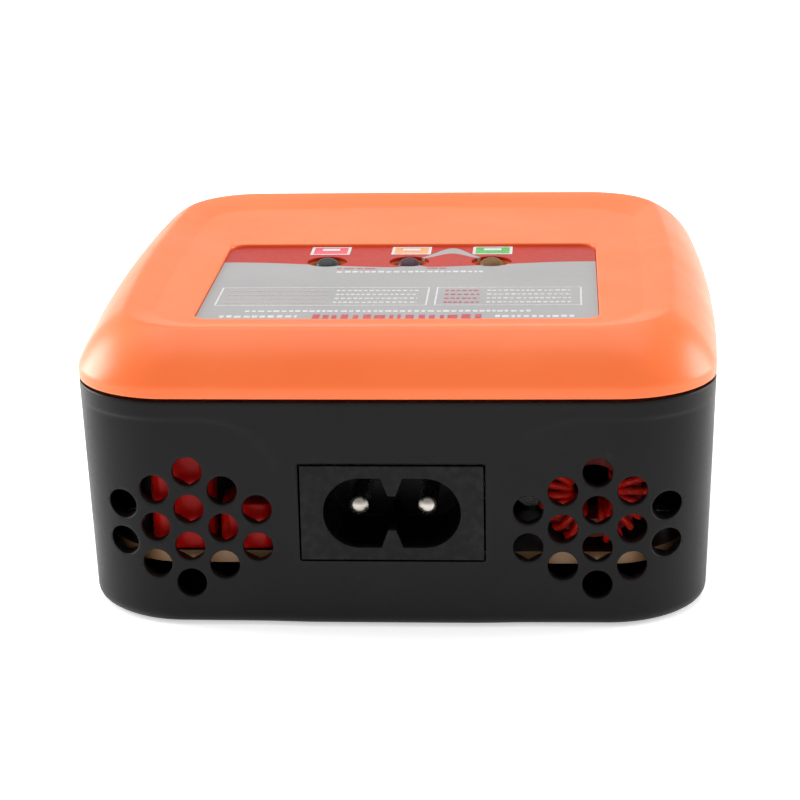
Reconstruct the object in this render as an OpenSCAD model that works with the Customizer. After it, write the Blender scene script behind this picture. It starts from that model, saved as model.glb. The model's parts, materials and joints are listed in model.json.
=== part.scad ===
// Mains balance charger for model batteries: a two-part case with a button panel,
// a two-pin mains inlet at the back, an output socket and two balance sockets at the front.
// Origin: centre of the base. +Z up, -Y is the inlet face, +Y is the socket face.

/* [Case] */
// Width across the sides, at the seam
case_w = 82.5; // [80:0.5:100]
// Depth from the inlet face to the socket face, at the seam
case_d = 87; // [84:0.5:106]
// Height of the seam between the two case halves
seam_z = 30; // [29:0.5:40]
// Corner radius in plan, at the seam
corner_r = 12.8; // [10:0.1:15.5]
// How far the long sides bow outward
side_bow = 1; // [0.2:0.1:2]
// How far the inlet face and the socket face bow outward
face_bow = 0.15; // [0.05:0.05:1]
// How far the sides lean in between the seam and the base
side_draft = 0.9; // [0:0.1:2]
// How far the inlet face and the socket face lean in
face_draft = 0.6; // [0:0.1:2]
// Rounding along the edge of the base
base_r = 1.8; // [1:0.1:3]
// Thickness of the case walls and the floor
wall = 2.2; // [1.8:0.1:2.8]
// Height of the shadow groove at the seam
seam_gap = 0.35; // [0.2:0.05:0.6]
// Height of the lid's tongue below the seam
tongue_h = 1.6; // [1:0.1:2.5]

/* [Lid] */
// Height of the upright band above the seam
skirt_h = 1.5; // [1:0.1:3]
// Height of the rim's crest above the seam
lid_rise = 7.6; // [7:0.1:12]
// Plan width of the bevel from the skirt to the crest
bevel_w = 5.6; // [4:0.1:8]
// Outward bulge of the bevel
bevel_bulge = 0.7; // [0:0.1:1.2]
// Plan width of the slope from the crest down to the dish, at the sides and the back
slope_w = 4.2; // [3:0.1:6]
// Extra width of that slope at the front
slope_front = 2.9; // [0:0.1:4]
// Depth of the dish below the crest
dish_drop = 0.8; // [0.4:0.1:1.5]
// Thickness of the lid's floor under the panel
lid_floor = 1.4; // [1:0.1:2]

/* [Panel] */
// Width of the window
window_w = 51.2; // [46:0.2:56]
// Depth of the window
window_d = 39.2; // [34:0.2:42]
// Distance from the inlet face to the window's near edge
window_back = 12.5; // [11.5:0.1:20]
// Corner radius of the window
window_r = 2.2; // [1:0.1:4]
// Thickness of the printed panel
panel_t = 0.5; // [0.3:0.05:0.8]
// How far the panel lies below the dish
panel_recess = 0.4; // [0.2:0.05:0.8]
// Distance between the buttons
button_pitch = 11.3; // [10.5:0.1:13]
// Distance from the front edge of the window to the row of buttons
button_front = 8.6; // [8:0.1:12]
// Distance from the row of buttons to the row of light windows
light_back = 6; // [5.6:0.1:7]
// Diameter of the button holes in the panel
button_hole_d = 5.5; // [4.5:0.1:6]
// Diameter of a button's stem
button_d = 3.5; // [3:0.1:3.8]
// How far a button stands above the panel
button_proud = 0.5; // [0.4:0.05:1.2]
// Travel of a button
button_travel = 0.4; // [0.2:0.05:0.5]
// Width of a light window
light_w = 5.4; // [4:0.1:6]
// Depth of a light window
light_d = 4; // [3:0.1:4.4]

/* [Vents] */
// Diameter of a vent hole
vent_d = 3.7; // [3:0.1:3.9]
// Corner radius of a vent hole's six-sided inner part
vent_hex_r = 2.3; // [2.2:0.05:2.5]
// Depth of its round outer part
vent_lip = 0.8; // [0.5:0.1:1.2]
// Distance between neighbouring vent holes
vent_pitch = 4.92; // [4.6:0.02:5.2]
// Distance from the middle of the case to the middle of a vent group
vent_x = 25.3; // [24:0.1:27]
// Height of the middle of a vent group
vent_z = 13.1; // [12:0.1:15]

/* [Mains inlet] */
// Width of the inlet's face
inlet_w = 22.7; // [21:0.1:24]
// Height of the inlet's face
inlet_h = 12.3; // [11:0.1:13]
// Length of the inlet behind its face
inlet_len = 17; // [15:0.5:20]
// Width of the inlet's cavity
cavity_w = 17; // [16:0.1:17.6]
// Height of the inlet's cavity
cavity_h = 9; // [8.4:0.1:9.4]
// Depth of the inlet's cavity
cavity_depth = 11.5; // [10:0.1:13]
// Distance between the two pins
pin_pitch = 8.6; // [8.6]
// Diameter of an inlet pin
pin_d = 2.4; // [2.4]
// How far the pin tips lie behind the face
pin_recess = 2.4; // [1.5:0.1:3.5]

/* [Front sockets] */
// Pins in each balance socket, from the middle outward
balance_pins_n = [4, 3]; // [2:1:6]
// Distance between balance pins
balance_pitch = 2.5; // [2.5]
// Height of a balance socket
balance_h = 5.8; // [5.4:0.1:7]
// Length of a balance socket
balance_len = 9.5; // [8:0.5:12]
// Width of the output socket
output_w = 16.2; // [15:0.1:18]
// Height of the output socket
output_h = 8.1; // [8:0.1:9]
// Length of the output socket
output_len = 16; // [14:0.5:20]
// Distance between the two output contacts
output_pitch = 7.2; // [7.2]
// Bore of an output contact
output_bore_d = 3.5; // [3.5]
// Gap between neighbouring sockets
socket_gap = 4; // [3:0.5:6]

/* [Boards] */
// Thickness of the boards
board_t = 1.6; // [1:0.1:2]
// Height of the main board's underside
board_z = 7.45; // [6:0.05:9]
// Gap between the main board's edge and the case wall
board_gap = 0.8; // [0.5:0.1:1.5]
// Width of the button board
panel_board_w = 42; // [38:0.5:46]
// Depth of the button board
panel_board_d = 22; // [20:0.5:24]
// Height of a switch body
switch_h = 3.2; // [3:0.1:4]
// Side of a switch body
switch_w = 6; // [6]

/* [Fasteners] */
// Diameter of the case screws
screw_d = 3; // [2.5:0.1:3.5]
// Length of the case screws under the head
screw_len = 12; // [10:0.5:14]
// Distance from the middle of the case to the case screws, front to back
screw_y = 20.5; // [20:0.1:21]
// Height at which the case bosses meet
boss_meet_z = 17; // [16:0.5:19]
// Diameter of the board screws
board_screw_d = 2.5; // [2:0.1:3]

/* [Hidden] */
$fn = 48;

// clearances
slip = 0.2;       // between a socket and its opening in the case
snug = 0.05;      // between pieces that sit in each other
stem_gap = 0.3;   // around a moving stem
eps = 0.5;        // how far a cut reaches past a face
thin = 0.02;

// outlines
arc_n = 8;
bow_n = 6;

// case
half_w = case_w / 2;
half_d = case_d / 2;
crest_z = seam_z + lid_rise;
dish_z = crest_z - dish_drop;
face_y = half_d - face_draft / 2;
inner_y = face_y - wall;

// panel stack, from the dish down
panel_top = dish_z - panel_recess;
floor_top = panel_top - panel_t;
ceiling_z = floor_top - lid_floor;
plate_t = 0.3;
plate_gap = 0.5;
switch_floor = 0.7;
foot_lip = 0.65;
button_board_top = ceiling_z - plate_gap - plate_t - switch_h;
button_board_z = button_board_top - board_t;
window_y = -half_d + window_back + window_d / 2;
button_y = window_y + window_d / 2 - button_front;
light_y = button_y + light_back;
light_floor = ceiling_z;
button_board_y = (button_y + light_y) / 2;
post_x = panel_board_w / 2 - 3;
post_y = panel_board_d / 2 - 2.6;

// main board
board_top = board_z + board_t;
board_w = 2 * (half_w - side_bow * 0.3 - side_draft - wall - board_gap);
board_d = 2 * (half_d - face_draft - wall - board_gap);
board_r = corner_r - wall;
head_r = screw_d * 0.93;
boss_r = head_r + 1.7;
boss_root = 0.3;  // how far a boss reaches into the side wall
boss_x = half_w - side_bow / 2 - side_draft - wall - boss_r + boss_root;
boss_y = screw_y;
lid_boss_r = 3.2;
head_seat_z = boss_meet_z - 3;
board_post_r = 2.6;
board_post_x = board_w / 2 - 3.05;
board_post_y = board_d / 2 - board_r - 0.3;

// inlet
inlet_z = board_top + inlet_h / 2;
inlet_y = -face_y + 0.1;
pin_r = pin_d / 2;
pin_root_r = pin_r - 0.25;
tail_w = 1.2;
tail_y = inlet_y + inlet_len + tail_w / 2;
lead_below = 1.4;

// front sockets
function balance_w(n) = (n - 1) * balance_pitch + 4.9;
front_w = output_w + balance_w(balance_pins_n[0]) + balance_w(balance_pins_n[1]) + 2 * socket_gap;
output_x = -front_w / 2 + output_w / 2;
balance_x = [
  -front_w / 2 + output_w + socket_gap + balance_w(balance_pins_n[0]) / 2,
  front_w / 2 - balance_w(balance_pins_n[1]) / 2
];
balance_wall = 0.7;
balance_pin_w = 0.64;
socket_face_y = face_y - 0.1;
output_z = board_top + output_h / 2;
balance_z = board_top + balance_h / 2;
contact_wall = 0.6;
contact_len = output_len - 3;

// larger parts on the main board
transformer = [24, 20, 17.5];
transformer_at = [0, -11];
mains_cap = [6.3, 19];
mains_cap_at = [-25.5, -10];
output_cap = [4, 14];
output_cap_at = [24, 12];
output_cap_pitch = 9.5;
choke_wire = 1.2;
choke = [6, 3.6, 5];
choke_at = [24.8, -board_d / 2 + choke[2] / 2 + choke_wire + 0.9];
choke_turns = [-15, 195];
film_caps = [[-26.7, 7.8, 14.5], [-18.4, 7, 6.2]];
film_cap_d = 7;
film_cap_y = -board_d / 2 + film_cap_d / 2 + 0.1;
fuse = [2.4, 20];
fuse_at = [17, -14];
thermistor_size = [4.6, 3.6];
thermistor_at = [-16.5, -28];
bridge = [14.5, 4.2, 11];
bridge_at = [-21, -21.5];
sink = [1.6, 22, 17];
sink_fin = 1.8;
sink_x = board_w / 2 - 4.2;
transistor_sink_y = 3;
diode_sink_y = -4;
package = [4.4, 10, 9];
inductor = [8, 4, 6];
inductor_at = [-17.5, 13];
inductor_wire = 1.1;
chip = [7, 7, 1];
chip_at = [-1, 25];
opto = [6.5, 4.6, 3.5];
opto_at = [15.5, 25];
link_pins_n = 6;
link_pitch = 2.54;
link_pin_w = 0.64;
link_socket_size = [link_pins_n * link_pitch, 2.5, 8.5];
link_y = button_board_y + panel_board_d / 2 - 3;
link_spacer_h = 2.5;

// Points of one outline: four corner arcs joined by shallow bows. The bows leave the arcs
// in the arcs' own direction, so the outline has no kinks.
function arc_pts(c, r, a0, a1) =
  [for (i = [0:arc_n]) let (a = a0 + (a1 - a0) * i / arc_n) c + r * [cos(a), sin(a)]];
function bow_pts(p, q, b) =
  let (n = [q.y - p.y, p.x - q.x] / norm(q - p))
  [for (i = [1:bow_n - 1]) let (t = i / bow_n) p + (q - p) * t + n * b * 4 * t * (1 - t)];
function outline(hw, hd, r, bow_x, bow_f, bow_b, yc = 0) =
  let (
    ax = atan(2 * bow_x / (hd - r)),
    af = atan(2 * bow_f / (hw - r)),
    ab = atan(2 * bow_b / (hw - r)),
    cx = hw - bow_x - r * cos(ax),
    cf = hd - bow_f - r * cos(af),
    cb = hd - bow_b - r * cos(ab),
    a = arc_pts([cx, yc + cf], r, ax, 90 - af),
    b = arc_pts([-cx, yc + cf], r, 90 + af, 180 - ax),
    c = arc_pts([-cx, yc - cb], r, 180 + ax, 270 - ab),
    d = arc_pts([cx, yc - cb], r, 270 + ab, 360 - ax)
  )
  concat(a, bow_pts(a[arc_n], b[0], bow_f), b, bow_pts(b[arc_n], c[0], bow_x),
    c, bow_pts(c[arc_n], d[0], bow_b), d, bow_pts(d[arc_n], a[0], bow_x));

// The case outline, inset by so much, at height z of the drafted lower case
function case_ring(z, inset = 0) =
  let (lean = 1 - min(z, seam_z) / seam_z)
  [for (p = outline(half_w - side_draft * lean - inset, half_d - face_draft * lean - inset,
      max(corner_r - inset, 1), side_bow, face_bow, face_bow)) [p.x, p.y, z]];

// A ring between the lid's crest (t = 0) and the edge of its dish (t = 1)
dish_half_w = half_w - bevel_w - slope_w;
dish_half_d = half_d - bevel_w - slope_w - slope_front / 2;
function slope_ring(t) =
  let (
    hw = half_w - bevel_w, hd = half_d - bevel_w, ease = (1 - cos(180 * t)) / 2,
    r0 = corner_r - bevel_w / 2, r1 = corner_r - bevel_w
  )
  [for (p = outline(hw + (dish_half_w - hw) * t, hd + (dish_half_d - hd) * t, r0 + (r1 - r0) * t,
      side_bow * (1 - t * 0.6), face_bow + 1.2 * t, face_bow, -slope_front / 2 * t))
    [p.x, p.y, crest_z - dish_drop * ease]];

// A ring on the lid's bevel, from the skirt (t = 0) to the crest (t = 1), inset by so much
function bevel_ring(t, inset = 0) =
  let (
    rise = lid_rise - skirt_h, run = norm([bevel_w, rise]),
    bulge = bevel_bulge * 4 * t * (1 - t),
    off = bevel_w * t - bulge * rise / run,
    z = seam_z + skirt_h + rise * t + bulge * bevel_w / run
  )
  [for (p = outline(half_w - off - inset, half_d - off - inset, corner_r - off / 2 - inset,
      side_bow, face_bow, face_bow)) [p.x, p.y, z - inset]];

// A closed skin over a stack of rings
module loft(rings) {
  n = len(rings[0]);
  k = len(rings);
  polyhedron(
    points = [for (r = rings) for (p = r) p],
    faces = concat(
      [[for (i = [0:n - 1]) i]],
      [[for (i = [n - 1:-1:0]) (k - 1) * n + i]],
      [for (j = [0:k - 2]) for (i = [0:n - 1]) [j * n + i, (j + 1) * n + i, (j + 1) * n + (i + 1) % n]],
      [for (j = [0:k - 2]) for (i = [0:n - 1]) [j * n + i, (j + 1) * n + (i + 1) % n, j * n + (i + 1) % n]]
    )
  );
}

// A plate with round corners, centred in plan
module round_plate(w, d, h, r) {
  linear_extrude(h) {
    square([w - 2 * r, d], center = true);
    square([w, d - 2 * r], center = true);
    for (x = [-1, 1], y = [-1, 1])
      translate([x * (w / 2 - r), y * (d / 2 - r)]) circle(r);
  }
}

// A box standing on z = 0, centred in plan
module block(size) {
  translate([-size.x / 2, -size.y / 2, 0]) cube(size);
}

// Its children at the four corners of a rectangle
module corners(x, y) {
  for (sx = [-1, 1], sy = [-1, 1]) translate([sx * x, sy * y, 0]) children();
}

// Its children at the three buttons
module per_button() {
  for (i = [-1:1]) translate([i * button_pitch, button_y, 0]) children();
}

// How far the rounded corner falls back from the inlet face at so far from the middle
function corner_drop(x) =
  let (d = max(0, x - (half_w - side_bow - corner_r))) corner_r - sqrt(corner_r * corner_r - d * d);

// A vent hole cut along +Y: round outside, six-sided with a corner down from the depth of its lip
module vent_hole(lip) {
  rotate([-90, 0, 0]) {
    translate([0, 0, -eps]) cylinder(d = vent_d, h = lip + 2 * eps);
    translate([0, 0, lip]) rotate([0, 0, 30]) cylinder(r = vent_hex_r, h = wall + eps, $fn = 6);
  }
}

// A group of staggered vent holes in five columns. Their lips follow the rounded corner.
module vent_group() {
  counts = [2, 3, 4, 3, 2];
  for (i = [0:4]) {
    x = (i - 2) * vent_pitch * cos(30);
    lip = vent_lip + corner_drop(vent_x + x + vent_d / 2);
    for (j = [0:counts[i] - 1]) translate([x, 0, (j - (counts[i] - 1) / 2) * vent_pitch]) vent_hole(lip);
  }
}

module lower_outer() {
  rounding = [for (i = [0:4]) let (a = i * 22.5) case_ring(base_r * (1 - cos(a)), base_r * (1 - sin(a)))];
  loft(concat(rounding, [case_ring(seam_z - seam_gap)]));
}

module lower_case() {
  color([0.13, 0.12, 0.12]) difference() {
    union() {
      difference() {
        lower_outer();
        loft([case_ring(wall, wall), case_ring(seam_z + eps, wall)]);
      }
      corners(boss_x, boss_y) translate([0, 0, wall / 2]) cylinder(r = boss_r, h = boss_meet_z - wall / 2);
      corners(board_post_x, board_post_y)
        translate([0, 0, wall / 2]) cylinder(r = board_post_r, h = board_z - wall / 2);
    }
    // rebate for the lid's tongue
    loft([case_ring(seam_z - tongue_h - 0.1, wall / 2), case_ring(seam_z + eps, wall / 2)]);
    corners(boss_x, boss_y) {
      translate([0, 0, -eps]) cylinder(r = head_r + 0.3, h = head_seat_z + eps);
      cylinder(r = screw_d / 2 + 0.2, h = boss_meet_z + eps);
    }
    corners(board_post_x, board_post_y)
      translate([0, 0, wall]) cylinder(r = board_screw_d / 2 - 0.2, h = board_z);
    for (s = [0, 1]) mirror([s, 0, 0]) translate([vent_x, -face_y, vent_z]) vent_group();
    translate([-inlet_w / 2 - slip, -half_d - eps, board_top - slip])
      cube([inlet_w + 2 * slip, 2 * wall, inlet_h + 2 * slip]);
    translate([output_x - output_w / 2 - slip, inner_y - wall, board_top - slip])
      cube([output_w + 2 * slip, 3 * wall, output_h + 2 * slip]);
    for (i = [0, 1]) {
      w = balance_w(balance_pins_n[i]) + 2 * slip;
      translate([balance_x[i] - w / 2, inner_y - wall, board_top - slip])
        cube([w, 3 * wall, balance_h + 2 * slip]);
    }
  }
}

module upper_outer() {
  loft(concat(
    [case_ring(seam_z)],
    [for (i = [0:5]) bevel_ring(i / 5)],
    [for (i = [1:6]) slope_ring(i / 6)]
  ));
}

module upper_inner() {
  loft([
    [for (p = case_ring(seam_z, wall)) [p.x, p.y, seam_z - tongue_h - eps]],
    [for (p = case_ring(seam_z, wall)) [p.x, p.y, seam_z + skirt_h]],
    [for (p = bevel_ring(0.5, wall * 0.8)) [p.x, p.y, min(p.z, ceiling_z - 0.6)]],
    [for (p = bevel_ring(0.75, wall * 0.8)) [p.x, p.y, ceiling_z]]
  ]);
}

module upper_case() {
  color([0.98, 0.47, 0.27]) difference() {
    union() {
      difference() {
        union() {
          upper_outer();
          loft([
            [for (p = case_ring(seam_z, wall / 2 + 0.1)) [p.x, p.y, seam_z - tongue_h]],
            [for (p = case_ring(seam_z, wall / 2 + 0.1)) [p.x, p.y, seam_z + 0.5]]
          ]);
        }
        upper_inner();
      }
      corners(boss_x, boss_y)
        translate([0, 0, boss_meet_z]) cylinder(r = lid_boss_r, h = ceiling_z + 0.4 - boss_meet_z);
      translate([0, button_board_y, button_board_top]) corners(post_x, post_y)
        cylinder(r = 2.2, h = ceiling_z + 0.4 - button_board_top);
    }
    translate([0, window_y, floor_top]) round_plate(window_w, window_d, 2, window_r);
    per_button() translate([0, 0, ceiling_z - eps]) cylinder(d = button_hole_d, h = lid_floor + 2 * eps);
    for (i = [-1:1]) translate([i * button_pitch, light_y, ceiling_z - eps])
      block([light_w, light_d, lid_floor + 2 * eps]);
    corners(boss_x, boss_y) translate([0, 0, boss_meet_z - eps])
      cylinder(r = screw_d / 2 - 0.25, h = screw_len);
    translate([0, button_board_y, button_board_top - eps]) corners(post_x, post_y)
      cylinder(r = board_screw_d / 2 - 0.2, h = 4);
  }
}

module panel_label() {
  color([0.55, 0.55, 0.56]) difference() {
    translate([0, window_y, floor_top])
      round_plate(window_w - 2 * snug, window_d - 2 * snug, panel_t, window_r);
    per_button() translate([0, 0, floor_top - eps]) cylinder(d = button_hole_d, h = panel_t + 2 * eps);
    for (i = [-1:1]) translate([i * button_pitch, light_y, floor_top - eps])
      block([light_w, light_d, panel_t + 2 * eps]);
  }
}

// A domed stem with a foot that the switch plate holds down
module button(i) {
  dome = 1;
  r = button_d / 2;
  ball = (r * r + dome * dome) / (2 * dome);
  top = panel_top + button_proud;
  foot = switch_h - switch_floor - button_travel - 2 * snug;
  foot_top = button_board_top + switch_h - snug;
  color([0.3, 0.28, 0.28]) translate([i * button_pitch, button_y, 0]) {
    translate([0, 0, foot_top - foot]) cylinder(r = r + foot_lip, h = foot);
    intersection() {
      translate([0, 0, foot_top - thin]) cylinder(r = r, h = top - foot_top + thin);
      union() {
        translate([0, 0, top - ball]) sphere(ball);
        translate([0, 0, foot_top - 1]) cylinder(r = r + 1, h = top - dome - foot_top + 1);
      }
    }
  }
}

module button_left() button(-1);
module button_middle() button(0);
module button_right() button(1);

module light_window(i, rgb) {
  color(rgb) translate([i * button_pitch, light_y, light_floor])
    block([light_w - 2 * snug, light_d - 2 * snug, panel_top - light_floor]);
}

module light_window_left() light_window(-1, [0.9, 0.3, 0.35]);
module light_window_middle() light_window(0, [0.95, 0.6, 0.3]);
module light_window_right() light_window(1, [0.3, 0.75, 0.3]);

module indicator_leds() {
  led_r = 1.5;
  led_h = ceiling_z - 0.3 - button_board_top;
  color([0.9, 0.9, 0.85]) for (i = [-1:1]) translate([i * button_pitch, light_y, button_board_top]) {
    cylinder(r = led_r + 0.3, h = 1);
    cylinder(r = led_r, h = led_h - led_r);
    translate([0, 0, led_h - led_r]) sphere(led_r);
  }
}

module switch_bodies() {
  color([0.1, 0.1, 0.1]) per_button() translate([0, 0, button_board_top]) difference() {
    block([switch_w, switch_w, switch_h]);
    translate([0, 0, switch_floor]) cylinder(r = button_d / 2 + foot_lip + stem_gap, h = switch_h);
  }
}

module switch_plates() {
  color([0.75, 0.75, 0.77]) per_button() translate([0, 0, button_board_top + switch_h]) difference() {
    block([switch_w, switch_w, plate_t]);
    translate([0, 0, -eps]) cylinder(r = button_d / 2 + stem_gap, h = plate_t + 2 * eps);
  }
}

// Positions of the pins of the link between the boards
function link_pin_x(i) = (i - (link_pins_n - 1) / 2) * link_pitch;

module link_pin_holes(z) {
  for (i = [0:link_pins_n - 1]) translate([link_pin_x(i), link_y, z])
    cylinder(r = 0.5, h = board_t + 2 * eps);
}

module button_board() {
  color([0.1, 0.35, 0.18]) difference() {
    translate([0, button_board_y, button_board_z]) round_plate(panel_board_w, panel_board_d, board_t, 1);
    translate([0, button_board_y, button_board_z - eps]) corners(post_x, post_y)
      cylinder(r = board_screw_d / 2 + 0.1, h = board_t + 2 * eps);
    link_pin_holes(button_board_z - eps);
  }
}

// A pan head screw standing head up, with its seat at z = 0
module screw(d, len) {
  head = d * 0.93;
  difference() {
    union() {
      translate([0, 0, -len]) cylinder(r = d / 2, h = len);
      cylinder(r = head, h = d * 0.6);
    }
    translate([-head, -d * 0.1, d * 0.3]) cube([2 * head, d * 0.2, d]);
  }
}

module button_board_screws() {
  color([0.7, 0.7, 0.72]) translate([0, button_board_y, button_board_z]) corners(post_x, post_y)
    rotate([180, 0, 0]) screw(board_screw_d, board_t + 3.4);
}

module link_header() {
  color([0.12, 0.12, 0.12]) translate([0, link_y, button_board_z - link_spacer_h])
    block([link_pins_n * link_pitch, 2.5, link_spacer_h]);
  color([0.85, 0.7, 0.3]) for (i = [0:link_pins_n - 1])
    translate([link_pin_x(i), link_y, board_top + 1.5])
      block([link_pin_w, link_pin_w, button_board_top + 1 - board_top - 1.5]);
}

module link_socket() {
  color([0.1, 0.1, 0.1]) translate([0, link_y, board_top]) difference() {
    block(link_socket_size);
    for (i = [0:link_pins_n - 1]) translate([link_pin_x(i), 0, 1])
      block([link_pin_w + 2 * snug, link_pin_w + 2 * snug, link_socket_size.z]);
  }
}

// Positions of the balance pins: socket s, pin i
function balance_pin_x(s, i) = balance_x[s] + (i - (balance_pins_n[s] - 1) / 2) * balance_pitch;
balance_tail_y = socket_face_y - balance_len - balance_pin_w / 2 - snug;

module main_board() {
  color([0.72, 0.6, 0.38]) difference() {
    translate([0, 0, board_z]) round_plate(board_w, board_d, board_t, board_r);
    corners(boss_x, boss_y)
      translate([0, 0, board_z - eps]) cylinder(r = boss_r + board_gap / 2, h = board_t + 2 * eps);
    corners(board_post_x, board_post_y)
      translate([0, 0, board_z - eps]) cylinder(r = board_screw_d / 2 + 0.1, h = board_t + 2 * eps);
    for (s = [-1, 1]) translate([s * pin_pitch / 2, tail_y, board_z - eps])
      cylinder(r = tail_w * 0.8, h = board_t + 2 * eps);
    for (s = [0, 1]) for (i = [0:balance_pins_n[s] - 1])
      translate([balance_pin_x(s, i), balance_tail_y, board_z - eps])
        cylinder(r = 0.5, h = board_t + 2 * eps);
  }
}

module board_screws() {
  color([0.7, 0.7, 0.72]) corners(board_post_x, board_post_y)
    translate([0, 0, board_top]) screw(board_screw_d, board_t + 4);
}

// The inlet's opening, looking along the pins: a slot with a rib above and below
module inlet_opening() {
  r = cavity_h / 2;
  rib = 2.3;
  difference() {
    union() {
      square([cavity_w - cavity_h, cavity_h], center = true);
      for (s = [-1, 1]) translate([s * (cavity_w / 2 - r), 0]) circle(r);
    }
    for (s = [-1, 1]) scale_y(s)
      polygon([[-1.35, r + 1], [-1.35, r], [-0.5, r - rib], [0.5, r - rib], [1.35, r], [1.35, r + 1]]);
  }
}

module scale_y(s) {
  if (s > 0) children();
  else mirror([0, 1]) children();
}

module inlet_body() {
  color([0.14, 0.14, 0.15]) translate([0, inlet_y, inlet_z]) rotate([-90, 0, 0]) difference() {
    translate([-inlet_w / 2, -inlet_h / 2, 0]) cube([inlet_w, inlet_h, inlet_len]);
    translate([0, 0, -eps]) linear_extrude(cavity_depth + eps) inlet_opening();
    for (s = [-1, 1]) translate([s * pin_pitch / 2, 0, 0]) cylinder(r = pin_root_r + thin, h = inlet_len + eps);
  }
}

module inlet_pins() {
  tip = 0.5;
  color([0.85, 0.84, 0.8]) for (s = [-1, 1]) translate([s * pin_pitch / 2, 0, 0]) {
    translate([0, inlet_y + pin_recess, inlet_z]) rotate([-90, 0, 0]) {
      translate([0, 0, tip]) cylinder(r = pin_r, h = cavity_depth - pin_recess - tip);
      translate([0, 0, cavity_depth - pin_recess - thin])
        cylinder(r = pin_root_r, h = inlet_len - cavity_depth + thin + tail_w);
      intersection() {
        cylinder(r = pin_r, h = tip + thin);
        translate([0, 0, (pin_r * pin_r + tip * tip) / (2 * tip)])
          sphere((pin_r * pin_r + tip * tip) / (2 * tip));
      }
    }
    translate([0, tail_y, board_z - lead_below]) block([tail_w, tail_w, inlet_z - board_z + lead_below]);
  }
}

module output_socket() {
  bevel = 1.8;
  color([0.85, 0.65, 0.1]) difference() {
    translate([output_x, socket_face_y, output_z]) rotate([90, 0, 0]) linear_extrude(output_len)
      polygon([
        [-output_w / 2, -output_h / 2], [output_w / 2 - bevel, -output_h / 2],
        [output_w / 2, -output_h / 2 + bevel], [output_w / 2, output_h / 2 - bevel],
        [output_w / 2 - bevel, output_h / 2], [-output_w / 2, output_h / 2]
      ]);
    for (s = [-1, 1]) translate([output_x + s * output_pitch / 2, socket_face_y + eps, output_z])
      rotate([90, 0, 0]) cylinder(r = output_bore_d / 2 + contact_wall + snug, h = output_len + 2 * eps);
  }
}

module output_contacts() {
  sunk = 1;
  color([0.9, 0.72, 0.3]) for (s = [-1, 1])
    translate([output_x + s * output_pitch / 2, socket_face_y - sunk, output_z]) rotate([90, 0, 0])
      difference() {
        cylinder(d = output_bore_d + 2 * contact_wall, h = output_len - sunk + 1.5);
        translate([0, 0, -eps]) cylinder(d = output_bore_d, h = contact_len - sunk + eps);
      }
}

module balance_socket(s) {
  w = balance_w(balance_pins_n[s]);
  floor_t = 2.4;
  color([0.93, 0.92, 0.88]) translate([balance_x[s], socket_face_y - balance_len, board_top]) difference() {
    translate([-w / 2, 0, 0]) cube([w, balance_len, balance_h]);
    translate([-w / 2 + balance_wall, floor_t, balance_wall])
      cube([w - 2 * balance_wall, balance_len, balance_h - 2 * balance_wall]);
    // polarising slots in the upper wall
    for (k = [-1, 1]) translate([k * (w / 2 - 2.4) - 0.6, floor_t + 1.5, balance_h / 2])
      cube([1.2, balance_len, balance_h]);
    for (i = [0:balance_pins_n[s] - 1])
      translate([balance_pin_x(s, i) - balance_x[s] - balance_pin_w / 2 - thin, -eps,
          balance_h / 2 - balance_pin_w / 2 - thin])
        cube([balance_pin_w + 2 * thin, floor_t + 2 * eps, balance_pin_w + 2 * thin]);
  }
}

module balance_socket_four() balance_socket(0);
module balance_socket_three() balance_socket(1);

module balance_pins() {
  reach = balance_len - 2;
  color([0.82, 0.82, 0.8]) for (s = [0, 1]) for (i = [0:balance_pins_n[s] - 1])
    translate([balance_pin_x(s, i), balance_tail_y, 0]) {
      translate([-balance_pin_w / 2, -balance_pin_w / 2, balance_z - balance_pin_w / 2])
        cube([balance_pin_w, reach + balance_pin_w, balance_pin_w]);
      translate([0, 0, board_z - lead_below])
        block([balance_pin_w, balance_pin_w, balance_z + balance_pin_w / 2 - board_z + lead_below]);
    }
}

// The transformer: an E core of three legs round a bobbin
core_leg = 3.4;
module transformer_core() {
  s = transformer;
  color([0.2, 0.2, 0.21]) translate([transformer_at.x, transformer_at.y, board_top + 2]) difference() {
    block([s.x, 7, s.z - 2]);
    for (k = [-1, 1]) translate([k * (s.x / 4 - core_leg / 4 + 0.6), 0, core_leg])
      block([s.x / 2 - core_leg * 1.5 - 1.2, 8, s.z - 2 - 2 * core_leg]);
  }
}

bobbin_gap = [transformer.x / 2 - core_leg * 1.5 - 1.2, transformer.z - 2 - 2 * core_leg];
leg_half = transformer.x / 4 - core_leg / 4 + 0.6 - bobbin_gap.x / 2;
module transformer_bobbin() {
  color([0.15, 0.15, 0.15]) translate([transformer_at.x, transformer_at.y, board_top]) {
    difference() {
      union() {
        for (z = [2 + core_leg + snug, transformer.z - core_leg - 0.8 - snug])
          translate([0, 0, z]) block([2 * (leg_half + bobbin_gap.x) - 0.4, 18, 0.8]);
        translate([0, 0, 2 + core_leg + snug])
          block([2 * leg_half + 1.6, 8.6, bobbin_gap.y - 2 * snug]);
      }
      translate([0, 0, 1]) block([2 * leg_half + 2 * snug, 7 + 2 * snug, transformer.z]);
    }
    for (k = [-1, 1]) translate([0, k * 8.5, 0]) block([transformer.x - 4, 3, 2]);
    for (k = [-1, 1]) translate([0, k * 8.4, 0]) block([8, 1.4, 2 + core_leg + snug + 0.2]);
  }
}

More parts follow.
